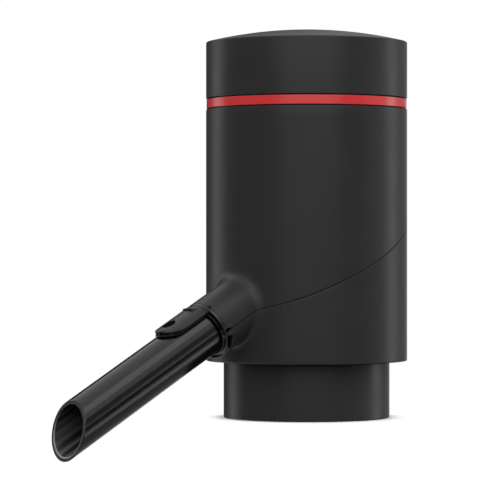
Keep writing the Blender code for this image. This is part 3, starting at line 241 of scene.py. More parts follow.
# How finely surfaces are divided: sides for each full turn, and the shells', tab's and cap's own grids
SIDES_BODY = 192
SIDES_SPOUT = 128
SIDES_SMALL = 48
SIDES_SEAL = 24
SIDES_WIRE = 12
BOSS_COLUMNS = 64
WALL_COLUMNS = 160
WALL_ROWS = 24
WALL_ROW_POWER = 1.3
FLARE_ROWS = 12
BOSS_ROWS = 12
TAB_COLUMNS = 40
TAB_ROWS = 10
TAB_TIP_ROWS = 6
DOME_ROWS = 40
CEILING_ROWS = 12
BUTTON_ROWS = 16
BLOCK_COLUMNS = 6
ELBOW_ROWS = 32

# Finishes. Moulded plastic and plated metal have a relief of about 0.05 mm across, and a drawn tube a
# waviness of about 0.3 mm: both are drawn coarser, so that they show. Each zone of the tube is whole up to
# its first number and has given way by its second. The sawn depth, and the depth of the painted highlight on
# the rim's inner edge, count back from the rim's plane. The satin depth and the highlight's width count out
# from the bore's wall, and the highlight's height counts up from the axis.
COLOUR_DRIFT = 9 * MM
DRIFT_RANGE = (0.3, 0.7)
STREAK_RANGE = (0.35, 0.65)
MOULD_GRAIN = (0.35 * MM, 0.004 * MM)
DIE_GRAIN = (0.9 * MM, 0.0008 * MM)
SAWN_DEPTH = (0.04 * MM, 0.08 * MM)
SATIN_DEPTH = (0.05 * MM, 0.15 * MM)
# Where the painted highlight lies on the rim's inner edge: a pale grey that stands in for light
PAINTED_HIGHLIGHT_DEPTH = (0.28 * MM, 0.36 * MM)
PAINTED_HIGHLIGHT_WIDTH = (0.14 * MM, 0.22 * MM)
PAINTED_HIGHLIGHT_UP = (-0.5 * MM, 3.0 * MM)
PAINTED_HIGHLIGHT_ABOVE = 0.15
STREAK_SIZE = 1.6 * MM
TRACK_WIDTH = 0.18 * MM
TRACK_LENGTH = 3.4 * MM
TRACK_PITCH = 1.3 * MM

# Blender's names for the nodes used most, for a shader's socket and for what a Boolean does
NOISE = "ShaderNodeTexNoise"
MIX = "ShaderNodeMix"
RANGE = "ShaderNodeMapRange"
MATH = "ShaderNodeMath"
VECTOR_MATH = "ShaderNodeVectorMath"
SPECULAR = "Specular IOR Level"
JOIN = "UNION"
CUT = "DIFFERENCE"

# Where a colour mix has its factor, its two colours and its result among its inputs and outputs
FACTOR = 0
FIRST = 6
SECOND = 7
MIXED = 2

# Camera
CAMERA_TURN = math.radians(44.2)
CAMERA_DISTANCE = 764.5 * MM
CAMERA_HEIGHT = 48.0 * MM
CAMERA_YAW = math.radians(1.39)
CAMERA_PITCH = math.radians(0.10)
CAMERA_LENS_MM = 205.64
CAMERA_SENSOR_MM = 36.0

# Studio, in metres. The fill light grows from FILL_BELOW to FILL_ABOVE as its direction's Z rises through
# FILL_CHANGE on both sides of level. A card begins to fade at its first radius and is gone at its second,
# and its height comes last. A curtain's turns are degrees to the right of the camera, and then come its
# heights and its cloth. A lamp's place is a turn, a distance and a height, and then come its width and
# height and its power in watts.
FILL_ABOVE = 1.0
FILL_BELOW = 0.1
FILL_CHANGE = 0.4
CARDS = (("stand", 0.023, 0.028, 0.0), ("floor", 0.15, 0.6, -0.15))
CARD_GRAIN = (0.5 * MM, 0.001 * MM)
CURTAIN_RADIUS = 1.5
CURTAIN_COLUMNS = 33
# Size of the curtains' mottle: painted shade that stands in for folds
CURTAIN_FOLD_SHADE_SIZE = 0.35
CURTAIN_WEAVE = (0.6 * MM, 0.05 * MM)
CURTAINS = (
    ("black_curtain", (-180.0, 62.0), (-0.5, 0.9), "black"),
    ("grey_curtain", (100.0, 160.0), (-0.5, 0.9), "grey"),
    ("grey_curtain_above", (62.0, 100.0), (0.12, 0.9), "grey"),
    ("black_rail", (62.0, 100.0), (-0.07, 0.12), "black"),
    ("grey_curtain_below", (62.0, 100.0), (-0.5, -0.07), "grey"),
    ("grey_curtain_behind", (160.0, 182.0), (0.2, 0.9), "grey"),
    ("table_skirt", (-60.0, 212.0), (-1.8, -0.5), "grey"),
)
LAMP_TARGET = (0.0, 0.0, 50 * MM)
LAMPS = (
    ("left strip", (-120, 0.55, 0.06), (0.20, 0.80), 0.72),
    ("right strip", (111, 0.55, 0.09), (0.16, 0.42), 0.42),
    ("front fill", (4, 0.85, 0.5), (1.3, 0.9), 5.2),
    ("low strip", (94, 0.55, -0.14), (0.26, 0.10), 0.085),
    ("middle strip", (84, 0.55, 0.105), (0.26, 0.08), 0.042),
    ("right softbox", (74, 0.42, 0.80), (0.5, 0.36), 0.5),
)


def in_spout_frame(points):
    """Move points given as (across, up, along) in the spout's frame to the head's frame."""
    return points @ np.stack([(1.0, 0.0, 0.0), SPOUT_UP, SPOUT_ALONG]) + SPOUT_ORIGIN


def round_spout(radius, turn, along):
    """A grid of points round the spout's axis, at (r cos a, r sin a, along) in the spout's frame."""
    grid = np.broadcast_arrays(radius * np.cos(turn), radius * np.sin(turn), along)
    return in_spout_frame(np.stack(grid, axis=-1))


def on_cylinder(radius, turn, height):
    """A grid of points round the head's axis, at (r sin a, -r cos a, z), so that a counts from the front."""
    return np.stack(np.broadcast_arrays(radius * np.sin(turn), -radius * np.cos(turn), height), axis=-1)


def round_corners(corners, radius):
    """Replace each corner of a profile of (radius, height) points by a quarter-like arc.

    The arc is a quadratic curve from a point before the corner to one after it. Each stands as far from the
    corner as the rounding radius, or as a share of the shorter side next to it where that is less. A support
    point stands next to each end of the arc where there is room, so that the flats keep flat shading.
    A profile that starts on the axis is open there, and keeps its two ends as they are.
    """
    corners = np.asarray(corners, dtype=float)
    radii = np.broadcast_to(np.asarray(radius, dtype=float), (len(corners),))
    before = np.roll(corners, 1, axis=0) - corners
    after = np.roll(corners, -1, axis=0) - corners
    before_length = np.linalg.norm(before, axis=1)[:, None]
    after_length = np.linalg.norm(after, axis=1)[:, None]
    size = np.minimum(radii[:, None], CORNER_SHARE * np.minimum(before_length, after_length))
    if corners[0, 0] == 0.0:
        size[[0, -1]] = 0.0
    before, after = before / before_length, after / after_length
    start = corners + before * size
    finish = corners + after * size
    share = np.linspace(0.0, 1.0, CORNER_STEPS)[None, :, None]
    arcs = (1 - share) ** 2 * start[:, None] + 2 * share * (1 - share) * corners[:, None]
    arcs = arcs + share ** 2 * finish[:, None]
    support = SUPPORT_SHARE * size
    lead_in = start + before * support * (before_length > SUPPORT_ROOM * size)
    lead_out = finish + after * support * (after_length > SUPPORT_ROOM * size)
    return np.concatenate([lead_in[:, None], arcs, lead_out[:, None]], axis=1).reshape(-1, 2)


def rectangle(inner, outer, bottom, top):
    """The corners of a profile between two radii and two heights."""
    return [(inner, bottom), (outer, bottom), (outer, top), (inner, top)]


def turned(profile, sides):
    """Turn a profile of (radius, height) points about Z into a grid of rows of points.

    Point k of a row stands at k / sides of a turn, and the last repeats the first. A profile that doesn't
    start on the axis is closed into a loop.
    """
    profile = np.asarray(profile, dtype=float)
    if profile[0, 0] > 0.0:
        profile = np.concatenate([profile, profile[:1]])
    turn = np.linspace(0.0, 2 * math.pi, sides + 1)
    return on_cylinder(profile[:, :1], turn, profile[:, 1:])


def add_piece(name, grids):
    """One mesh from grids of points (rows, columns, 3), closed where they share their edges.

    Each grid gives a quad between every four neighbouring points. Points that coincide are merged, which
    closes seams and poles, and the faces are turned outwards.
    """
    points = []
    quads = []
    start = 0
    for grid in grids:
        rows, columns = grid.shape[:2]
        index = start + np.arange(rows * columns).reshape(rows, columns)
        corners = (index[:-1, :-1], index[:-1, 1:], index[1:, 1:], index[1:, :-1])
        quads.append(np.stack([corner.ravel() for corner in corners], axis=1))
        points.append(grid.reshape(-1, 3))
        start += rows * columns
    mesh = bpy.data.meshes.new(name)
    mesh.from_pydata(np.concatenate(points), [], np.concatenate(quads), shade_flat=False)
    builder = bmesh.new()
    builder.from_mesh(mesh)
    bmesh.ops.remove_doubles(builder, verts=builder.verts, dist=WELD_DISTANCE)
    bmesh.ops.recalc_face_normals(builder, faces=builder.faces)
    builder.to_mesh(mesh)
    builder.free()
    piece = bpy.data.objects.new(name, mesh)
    bpy.context.scene.collection.objects.link(piece)
    return piece


def reshape(piece, kind, **settings):
    """Put a modifier on a piece and make the shape that it gives the piece's own mesh."""
    modifier = piece.modifiers.new(kind.title(), kind)
    for name, value in settings.items():
        setattr(modifier, name, value)
    bpy.context.view_layer.update()
    evaluated = piece.evaluated_get(bpy.context.evaluated_depsgraph_get())
    mesh = bpy.data.meshes.new_from_object(evaluated)
    piece.modifiers.clear()
    piece.data = mesh


def round_edges(piece, width=EDGE_ROUND):
    """Round every edge that turns by more than the bevel's angle."""
    reshape(
        piece, "BEVEL", width=width, segments=EDGE_ROUND_STEPS,
        limit_method="ANGLE", angle_limit=BEVEL_ANGLE)


def combine(piece, operation, grids):
    """Join a piece with another shape, or cut that shape away from it."""
    other = add_piece("other", grids)
    reshape(piece, "BOOLEAN", operation=operation, solver="EXACT", object=other)
    bpy.data.objects.remove(other, do_unlink=True)


def combine_rods(piece, operation, radius, bottom, top, places):
    """Join or cut away upright cylinders at the (x, y) places."""
    upright = turned(rectangle(0.0, radius, bottom, top), SIDES_SMALL)
    combine(piece, operation, [upright + np.array([x, y, 0.0]) for x, y in places])


def turned_piece(name, profile, roundings, sides):
    return add_piece(name, [turned(round_corners(profile, roundings), sides)])


def finish_piece(piece, finishes, slot, body="housing", finish=None):
    """Shade a piece smooth between its real edges, give it its slot's finish or another, and set its body.

    A piece is named for the node that it replaces, with _fine after it.
    """
    piece.data.shade_smooth()
    piece.data.set_sharp_from_angle(angle=SHADING_ANGLE)
    piece.data.materials.clear()
    piece.data.materials.append(finishes[finish or slot])
    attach(piece, body)
    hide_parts(piece.name.removesuffix("_fine"))


def body_reach(across, up, radius):
    """How far along the spout's axis a line beside it, at (across, up), leaves an upright cylinder."""
    forward = np.sqrt(radius ** 2 - across ** 2)
    return (forward - up * math.sin(SPOUT_FALL)) / math.cos(SPOUT_FALL)


def boss_angles(radius, seam_up, upper):
    """Angles round the spout's axis of the boss's columns on one side of the seam.

    They are evenly spaced between the two points where the circle meets the seam's plane, from +X to -X,
    over the top for the upper shell and under the bottom for the lower one.
    """
    first = np.arcsin(seam_up / radius)
    last = (math.pi if upper else -math.pi) - first
    return first + (last - first) * np.linspace(0.0, 1.0, BOSS_COLUMNS + 1)


def boss_end(angle):
    """Where the boss ends at each angle."""
    end = np.full_like(angle, BOSS_END)
    for (first, last), reach in BOSS_STEPS:
        end[(angle > math.radians(first)) & (angle < math.radians(last))] = reach
    return end


def boss_rows(seam_up, upper):
    """The boss outside and inside, as rows of points from its foot to its bore's root.

    Its foot flares out of the body in a quadratic curve that leaves the body along its tangent plane. The
    boss goes on as a cylinder to its end, and its bore comes back to the inner wall.
    """
    share = np.linspace(0.0, 1.0, FLARE_ROWS)[:, None]
    radius = BOSS_FOOT_RADIUS * (1 - share) ** 2 + BOSS_RADIUS * (1 - (1 - share) ** 2)
    angle = boss_angles(radius, seam_up, upper)
    across, up = BOSS_FOOT_RADIUS * np.cos(angle), BOSS_FOOT_RADIUS * np.sin(angle)
    foot = body_reach(across, up, BODY_RADIUS)
    slope = -across ** 2 / np.sqrt(BODY_RADIUS ** 2 - across ** 2) - up * math.sin(SPOUT_FALL)
    middle = foot + slope / math.cos(SPOUT_FALL) * (BOSS_RADIUS / BOSS_FOOT_RADIUS - 1)
    reach = foot * (1 - share) ** 2 + 2 * share * (1 - share) * middle + share ** 2 * (middle + BOSS_FILLET)
    flare = round_spout(radius, angle, reach)
    angle = boss_angles(BOSS_RADIUS, seam_up, upper)
    end = boss_end(angle)
    share = np.linspace(0.0, 1.0, BOSS_ROWS + 1)[1:, None]
    neck = round_spout(BOSS_RADIUS, angle, reach[-1] + (end - reach[-1]) * share)
    angle = boss_angles(BOSS_BORE_RADIUS, seam_up, upper)
    root = body_reach(BOSS_BORE_RADIUS * np.cos(angle), BOSS_BORE_RADIUS * np.sin(angle), BODY_INNER_RADIUS)
    share = np.linspace(0.0, 1.0, FLARE_ROWS + BOSS_ROWS)[:, None]
    bore = round_spout(BOSS_BORE_RADIUS, angle, end + (root - end) * share)
    return np.concatenate([flare, neck, bore])


def shell_wall(radius, arc, seam_up, rim_z, rim_turn):
    """An upright cylinder from an edge, along the seam round the back and the boss in front, to its rim.

    A point at angle a on the seam's plane stands r cos(a) tan(fall) below the plane's height on the axis.
    Rows crowd towards the edge, and columns leave it sideways first, by a cubic curve, so that the grid
    stays open beside the boss.
    """
    start = math.atan2(arc[0, 0], -arc[0, 1])
    turn = np.linspace(start, 2 * math.pi - start, WALL_COLUMNS + 1)[:-1]
    middle = SPOUT_AXIS_Z + seam_up / math.cos(SPOUT_FALL)
    seam_z = middle - radius * np.cos(turn) * math.tan(SPOUT_FALL)
    edge_turn = np.concatenate([turn, 2 * math.pi + np.arctan2(arc[::-1, 0], -arc[::-1, 1])])
    edge_z = np.concatenate([seam_z, arc[::-1, 2]])
    share = (np.arange(WALL_ROWS + 1) / WALL_ROWS)[:, None] ** WALL_ROW_POWER
    turn = edge_turn + (rim_turn - edge_turn) * (1 - (1 - share) ** 3)
    return on_cylinder(radius, turn, edge_z + (rim_z - edge_z) * share)


def shell_grids(upper):
    """A shell of the head as grids: its walls and rim, its boss, and its faces along the seam."""
    half_gap = SEAM_GAP / 2
    seam_up = -SEAM_DROP * math.cos(SPOUT_FALL) + (half_gap if upper else -half_gap)
    boss = boss_rows(seam_up, upper)
    outer_count = FLARE_ROWS + BOSS_ROWS
    columns = WALL_COLUMNS + BOSS_COLUMNS
    rim_turn = 2 * math.pi * (np.arange(columns + 1) + BOSS_COLUMNS / 2) / columns
    if upper:
        outer_rim, inner_rim = SHELL_TOP_Z, SPIGOT_TOP_Z
        rim = [(BODY_RADIUS, SHELL_TOP_Z), (SPIGOT_RADIUS, SHELL_TOP_Z)]
        rim += [(SPIGOT_RADIUS, SPIGOT_TOP_Z), (BODY_INNER_RADIUS, SPIGOT_TOP_Z)]
    else:
        outer_rim, inner_rim = BODY_BOTTOM_Z + BODY_EDGE_ROUND, FLOOR_TOP_Z
        bend = np.linspace(0.0, math.pi / 2, CORNER_STEPS)
        bend_radius = BODY_RADIUS - BODY_EDGE_ROUND * (1 - np.cos(bend))
        rim = list(zip(bend_radius, outer_rim - BODY_EDGE_ROUND * np.sin(bend)))
        under = (FLOOR_SUPPORT_RADIUS, COLLAR_RADIUS, STEM_HOLE_RADIUS)
        rim += [(radius, BODY_BOTTOM_Z) for radius in under]
        rim += [(radius, FLOOR_TOP_Z) for radius in (STEM_HOLE_RADIUS, COLLAR_RADIUS, BODY_INNER_RADIUS)]
    rim_radius, rim_height = np.array(rim).T[:, :, None]
    walls = np.concatenate([
        shell_wall(BODY_RADIUS, boss[0], seam_up, outer_rim, rim_turn),
        on_cylinder(rim_radius, rim_turn, rim_height),
        shell_wall(BODY_INNER_RADIUS, boss[-1], seam_up, inner_rim, rim_turn)[::-1],
    ])
    seam_face = np.stack([walls[0, :WALL_COLUMNS + 1], walls[-1, :WALL_COLUMNS + 1]])
    boss_faces = [np.stack([boss[:outer_count, side], boss[:outer_count - 1:-1, side]]) for side in (0, -1)]
    return [walls, boss, seam_face, *boss_faces]


def corner_places(pitch):
    """The four (x, y) places at 45 degrees to the axes, at a distance from the middle."""
    side = pitch / math.sqrt(2.0)
    return [(side, side), (-side, side), (-side, -side), (side, -side)]


def make_upper_shell(finishes):
    shell = add_piece("upper_shell_fine", shell_grids(upper=True))
    round_edges(shell)
    finish_piece(shell, finishes, "soft_touch_black")


def make_lower_shell(finishes):
    """The lower shell, with the posts that carry the cage and the holes in its floor."""
    shell = add_piece("lower_shell_fine", shell_grids(upper=False))
    round_edges(shell)
    posts = corner_places(CELL_PITCH)
    holes = (SCREW_HOLE_RADIUS, POST_TOP_Z - POST_HOLE_DEPTH, POST_TOP_Z + CUT_OVERRUN)
    through = (BODY_BOTTOM_Z - CUT_OVERRUN, FLOOR_TOP_Z + CUT_OVERRUN)
    screws = corner_places(COLLAR_SCREW_PITCH) + MANIFOLD_SCREWS
    combine_rods(shell, JOIN, POST_RADIUS, FLOOR_TOP_Z - CUT_OVERRUN, POST_TOP_Z, posts)
    combine_rods(shell, CUT, *holes, posts)
    combine_rods(shell, CUT, SCREW_HOLE_RADIUS, *through, screws)
    combine_rods(shell, CUT, NIPPLE_HOLE_RADIUS, *through, NIPPLE_PLACE)
    finish_piece(shell, finishes, "soft_touch_black")


def make_collar(finishes):
    profile = [
        (STEM_HOLE_RADIUS, WEB_BOTTOM_Z), (COLLAR_INNER_RADIUS, WEB_BOTTOM_Z), (COLLAR_INNER_RADIUS, 0.0),
        (COLLAR_RADIUS, 0.0), (COLLAR_RADIUS, WEB_TOP_Z), (STEM_HOLE_RADIUS, WEB_TOP_Z),
    ]
    collar = turned_piece("bottle_collar_fine", profile, COLLAR_ROUNDINGS, SIDES_BODY)
    top = WEB_TOP_Z + CUT_OVERRUN
    screws = corner_places(COLLAR_SCREW_PITCH)
    combine_rods(collar, CUT, SCREW_HOLE_RADIUS, WEB_BOTTOM_Z + SCREW_SKIN, top, screws)
    combine_rods(collar, CUT, NIPPLE_HOLE_RADIUS, WEB_BOTTOM_Z - CUT_OVERRUN, top, NIPPLE_PLACE)
    finish_piece(collar, finishes, "soft_touch_black")


def make_gasket(finishes):
    """A flat ring with three shallow grooves round its lower face, where it meets the bottle's rim."""
    top = WEB_BOTTOM_Z - FIT_GAP
    profile = [(GASKET_INNER_RADIUS, top), (GASKET_INNER_RADIUS, GASKET_BOTTOM_Z)]
    for groove in GASKET_GROOVES:
        profile += [
            (groove - GASKET_GROOVE_HALF_WIDTH, GASKET_BOTTOM_Z),
            (groove, GASKET_BOTTOM_Z + GASKET_GROOVE_DEPTH),
            (groove + GASKET_GROOVE_HALF_WIDTH, GASKET_BOTTOM_Z),
        ]
    profile += [(GASKET_RADIUS, GASKET_BOTTOM_Z), (GASKET_RADIUS, top)]
    gasket = turned_piece("neck_gasket_fine", profile, SOFT_EDGE_ROUND, SIDES_BODY)
    finish_piece(gasket, finishes, "silicone_grey")


def make_stopper(finishes):
    """A plug with soft sealing ribs, which narrows at its foot."""
    pitch = (STOPPER_TOP_Z - STOPPER_FOOT_Z) / (STOPPER_RIBS + 1)
    profile = [
        (STEM_HOLE_RADIUS, STOPPER_TOP_Z), (STEM_HOLE_RADIUS, STOPPER_FOOT_Z),
        (STOPPER_CORE_RADIUS - STOPPER_TAPER, STOPPER_FOOT_Z),
        (STOPPER_CORE_RADIUS, STOPPER_FOOT_Z + STOPPER_TAPER_HEIGHT),
    ]
    for middle in STOPPER_FOOT_Z + pitch * np.arange(1, STOPPER_RIBS + 1):
        profile += [
            (STOPPER_CORE_RADIUS, middle - RIB_HALF_FOOT), (STOPPER_RADIUS, middle - RIB_HALF_CREST),
            (STOPPER_RADIUS, middle + RIB_HALF_CREST), (STOPPER_CORE_RADIUS, middle + RIB_HALF_FOOT),
        ]
    profile.append((STOPPER_CORE_RADIUS, STOPPER_TOP_Z))
    stopper = turned_piece("bottle_stopper_fine", profile, SOFT_EDGE_ROUND, SIDES_SPOUT)
    ends = (STOPPER_FOOT_Z - CUT_OVERRUN, STOPPER_TOP_Z + CUT_OVERRUN)
    combine_rods(stopper, CUT, NIPPLE_HOLE_RADIUS, *ends, NIPPLE_PLACE)
    finish_piece(stopper, finishes, "silicone_grey")


def make_accent_ring(finishes):
    profile = rectangle(RING_INNER_RADIUS, RING_RADIUS, RING_BOTTOM_Z, RING_TOP_Z)
    ring = turned_piece("accent_ring_fine", profile, EDGE_ROUND, SIDES_BODY)
    finish_piece(ring, finishes, "gloss_red")


def dome_height(radius):
    """The domed top: a shallow arch that falls off with the square of the radius."""
    return RIM_Z + DOME_RISE * (1 - (radius / (BODY_RADIUS - BODY_EDGE_ROUND)) ** 2)


def make_battery_cap(finishes):
    """The domed lid, with its well for the button and the four pegs that seat the contact board."""
    well_radius = BUTTON_RADIUS + FIT_GAP
    well_outer = well_radius + WELL_WALL
    dome = np.linspace(BODY_RADIUS - BODY_EDGE_ROUND, well_radius, DOME_ROWS)
    ceiling = np.linspace(well_outer, CAP_INNER_RADIUS, CEILING_ROWS)
    bend = np.linspace(0.0, math.pi / 2, CORNER_STEPS)[:-1]
    rim_radius = BODY_RADIUS - BODY_EDGE_ROUND * (1 - np.cos(bend))
    rim_height = RIM_Z - BODY_EDGE_ROUND * (1 - np.sin(bend))
    stem_hole = BUTTON_STEM_RADIUS + FIT_GAP
    profile = [
        (CAP_INNER_RADIUS, CAP_BOTTOM_Z), (BODY_RADIUS, CAP_BOTTOM_Z),
        *zip(rim_radius, rim_height), *zip(dome, dome_height(dome)),
        (well_radius, WELL_FLOOR_TOP_Z), (stem_hole, WELL_FLOOR_TOP_Z),
        (stem_hole, WELL_FLOOR_Z), (well_outer, WELL_FLOOR_Z),
        *zip(ceiling, dome_height(ceiling) - CAP_WALL),
    ]
    roundings = [EDGE_ROUND] * 2 + [0.0] * (len(bend) + DOME_ROWS - 1) + [WELL_EDGE_ROUND]
    roundings += [EDGE_ROUND] * 4 + [0.0] * CEILING_ROWS
    cap = turned_piece("battery_cap_fine", profile, roundings, SIDES_BODY)
    pegs = (CAP_PEG_RADIUS, CONTACT_BOARD_TOP_Z + FIT_GAP, dome_height(CELL_PITCH) - CAP_WALL / 2)
    combine_rods(cap, JOIN, *pegs, corner_places(CELL_PITCH))
    finish_piece(cap, finishes, "soft_touch_black", body="lid")


def make_push_button(finishes):
    """A domed disc on a barbed stem, its top in line with the lid's."""
    under = dome_height(BUTTON_RADIUS) - BUTTON_THICKNESS
    top = np.linspace(BUTTON_RADIUS, 0.0, BUTTON_ROWS)
    profile = [
        (0.0, BUTTON_BARB_BOTTOM_Z), (BUTTON_STEM_RADIUS, BUTTON_BARB_BOTTOM_Z),
        (BUTTON_BARB_RADIUS, BUTTON_BARB_TOP_Z), (BUTTON_STEM_RADIUS, BUTTON_BARB_TOP_Z),
        (BUTTON_STEM_RADIUS, under), (BUTTON_RADIUS, under),
        *zip(top, dome_height(top)),
    ]
    roundings = [0.0] + [EDGE_ROUND] * 5 + [SOFT_EDGE_ROUND] + [0.0] * (BUTTON_ROWS - 1)
    button = turned_piece("push_button_fine", profile, roundings, SIDES_SPOUT)
    finish_piece(button, finishes, "soft_touch_black", body="button")


def make_spout_tube(finishes):
    """The tube: a wall section with rounded corners, carried round the spout's axis.

    Its far end lies on a slanted plane, so a point there stands at tip - up * tan(slant) along the tube.
    """
    length = TUBE_TIP - TUBE_ROOT
    section = round_corners(rectangle(TUBE_INNER_RADIUS, TUBE_RADIUS, 0.0, length), TUBE_ROUNDINGS)
    section = np.concatenate([section, section[:1]])
    turn = np.linspace(0.0, 2 * math.pi, SIDES_SPOUT + 1)
    radius, along = section[:, :1], section[:, 1:]
    slant = np.where(along > length / 2, radius * np.sin(turn) * math.tan(TIP_SLANT), 0.0)
    tube = add_piece("spout_tube_fine", [round_spout(radius, turn, TUBE_ROOT + along - slant)])
    finish_piece(tube, finishes, "smoked_acrylic", body="spout")


def along_spout(profile):
    """Turn a profile of (radius, distance along) points about the spout's axis."""
    return in_spout_frame(turned(profile, SIDES_SPOUT))


def polar_block(radii, angles, reaches):
    """The six faces of a block between two radii, two angles and two distances along the spout."""
    turn = np.linspace(*angles, BLOCK_COLUMNS + 1)
    radius = np.array(radii)[[0, 1, 1, 0, 0], None]
    along = np.array(reaches)[[0, 0, 1, 1, 0], None]
    sides = round_spout(radius, turn, along)
    return [sides, *(np.stack([sides[[0, 1], column], sides[[3, 2], column]]) for column in (0, -1))]


def make_socket_ring(finishes):
    """The ring that closes the boss: a thin outer edge, a deep dark channel and an inner lip by the tube."""
    edge_wall, foot_wall = SOCKET_WALL
    lip_edge_wall, lip_foot_wall = SOCKET_LIP_WALL
    profile = [
        (BOSS_BORE_RADIUS, SOCKET_RING_START), (BOSS_RADIUS, SOCKET_RING_START),
        (BOSS_RADIUS, SOCKET_RING_END), (BOSS_RADIUS - edge_wall, SOCKET_RING_END),
        (BOSS_RADIUS - foot_wall, SOCKET_FLOOR),
        (SOCKET_LIP_RADIUS + lip_foot_wall, SOCKET_FLOOR),
        (SOCKET_LIP_RADIUS + lip_edge_wall, SOCKET_LIP_END),
        (SOCKET_LIP_RADIUS, SOCKET_LIP_END), (SOCKET_LIP_RADIUS, SOCKET_LIP_FOOT),
    ]
    ring = add_piece("socket_ring_fine", [along_spout(round_corners(profile, SOCKET_RING_ROUND))])
    ends = (SOCKET_RING_START - FIT_GAP, SLOT_END)
    combine(ring, CUT, polar_block(SOCKET_SLOT_RADII, np.radians(SLOT_ANGLES), ends))
    # The ring's finish is darker than the tab's black: painted shade, so that its channel reads black
    finish_piece(ring, finishes, "moulded_black", finish="ring_black_painted_shade")


def tab_end(angle):
    """Where the tab ends at an angle off its middle line: its end is half an ellipse."""
    share = np.clip(np.abs(angle) / TAB_HALF_ANGLE, 0.0, 1.0)
    return TAB_END - TAB_END_CURVE * (1 - np.sqrt(1 - share ** 2))


def tab_grids():
    """The tab as six grids: its curved top with the ramped rib, its underside, and the walls between them.

    A row keeps its distance along the spout near the root and takes the end's curve further out. There the
    top falls in a quarter circle and a short wall to the lip, which reaches a little further.
    """
    angle = -TAB_HALF_ANGLE * np.cos(np.linspace(0.0, math.pi, TAB_COLUMNS + 1))
    rows = np.array([TAB_ROOT, *TAB_RIB_ROWS])[:, None]
    fixed = np.broadcast_to(rows, (len(rows), len(angle)))
    tip = tab_end(angle) - TAB_LIP
    share = np.linspace(0.0, 1.0, TAB_ROWS + 1)[1:, None]
    straight = rows[-1] + (tip - TAB_TIP_ROUND - rows[-1]) * share
    bend = np.linspace(0.0, math.pi / 2, TAB_TIP_ROWS + 1)[1:, None]
    rounded = tip - TAB_TIP_ROUND * (1 - np.sin(bend))
    along = np.concatenate([fixed, straight, rounded, [tip, tip + TAB_LIP]])
    rib = 0.5 * (1 - np.tanh((np.abs(angle) - TAB_RIB_HALF_ANGLE) / TAB_RIB_FADE))
    rise = np.zeros_like(along)
    rise[TAB_CREST_ROW] = TAB_RIB_HEIGHT * rib
    rise[-2 - TAB_TIP_ROWS:-2] = -TAB_TIP_ROUND * (1 - np.cos(bend))
    rise[-2:] = TAB_LIP_RADIUS - BOSS_RADIUS

    top = round_spout(BOSS_RADIUS + rise, math.pi / 2 - angle, along)
    under = round_spout(TAB_INNER_RADIUS, math.pi / 2 - angle, np.maximum(along, TAB_ROOT_UNDER))
    walls = [np.stack([top[row], under[row]]) for row in (0, -1)]
    walls += [np.stack([top[:, column], under[:, column]]) for column in (0, -1)]
    return [top, under, *walls]


def make_release_tab(finishes):
    """The tab, with the oval hole through it and the pockets that leave ribs along its end.

    The hole is an elliptic cylinder: a point at angle a stands at (w / 2 sin a, middle - l / 2 cos a).
    """
    tab = add_piece("release_tab_fine", tab_grids())
    round_edges(tab, TAB_EDGE_ROUND)
    oval = turned(rectangle(0.0, 1.0, 0.0, 1.0), SIDES_SMALL)
    bottom, top = TAB_INNER_RADIUS - CUT_OVERRUN, TAB_INNER_RADIUS + 2 * CUT_OVERRUN
    size = (TAB_HOLE_WIDTH / 2, TAB_HOLE_LENGTH / 2, top - bottom)
    across, along, up = np.moveaxis(oval * size, -1, 0)
    combine(tab, CUT, [in_spout_frame(np.stack([across, bottom + up, TAB_HOLE_AT + along], axis=-1))])
    pockets = []
    for first, last in TAB_POCKETS:
        end = tab_end(math.radians((first + last) / 2)) - TAB_LIP
        reaches = (end - TAB_POCKET_DEPTH, end + 3 * CUT_OVERRUN)
        for side in (1, -1):
            angles = math.pi / 2 + side * np.radians([first, last])
            pockets += polar_block(TAB_POCKET_RADII, angles, reaches)
    combine(tab, CUT, pockets)
    finish_piece(tab, finishes, "moulded_black", body="tab")


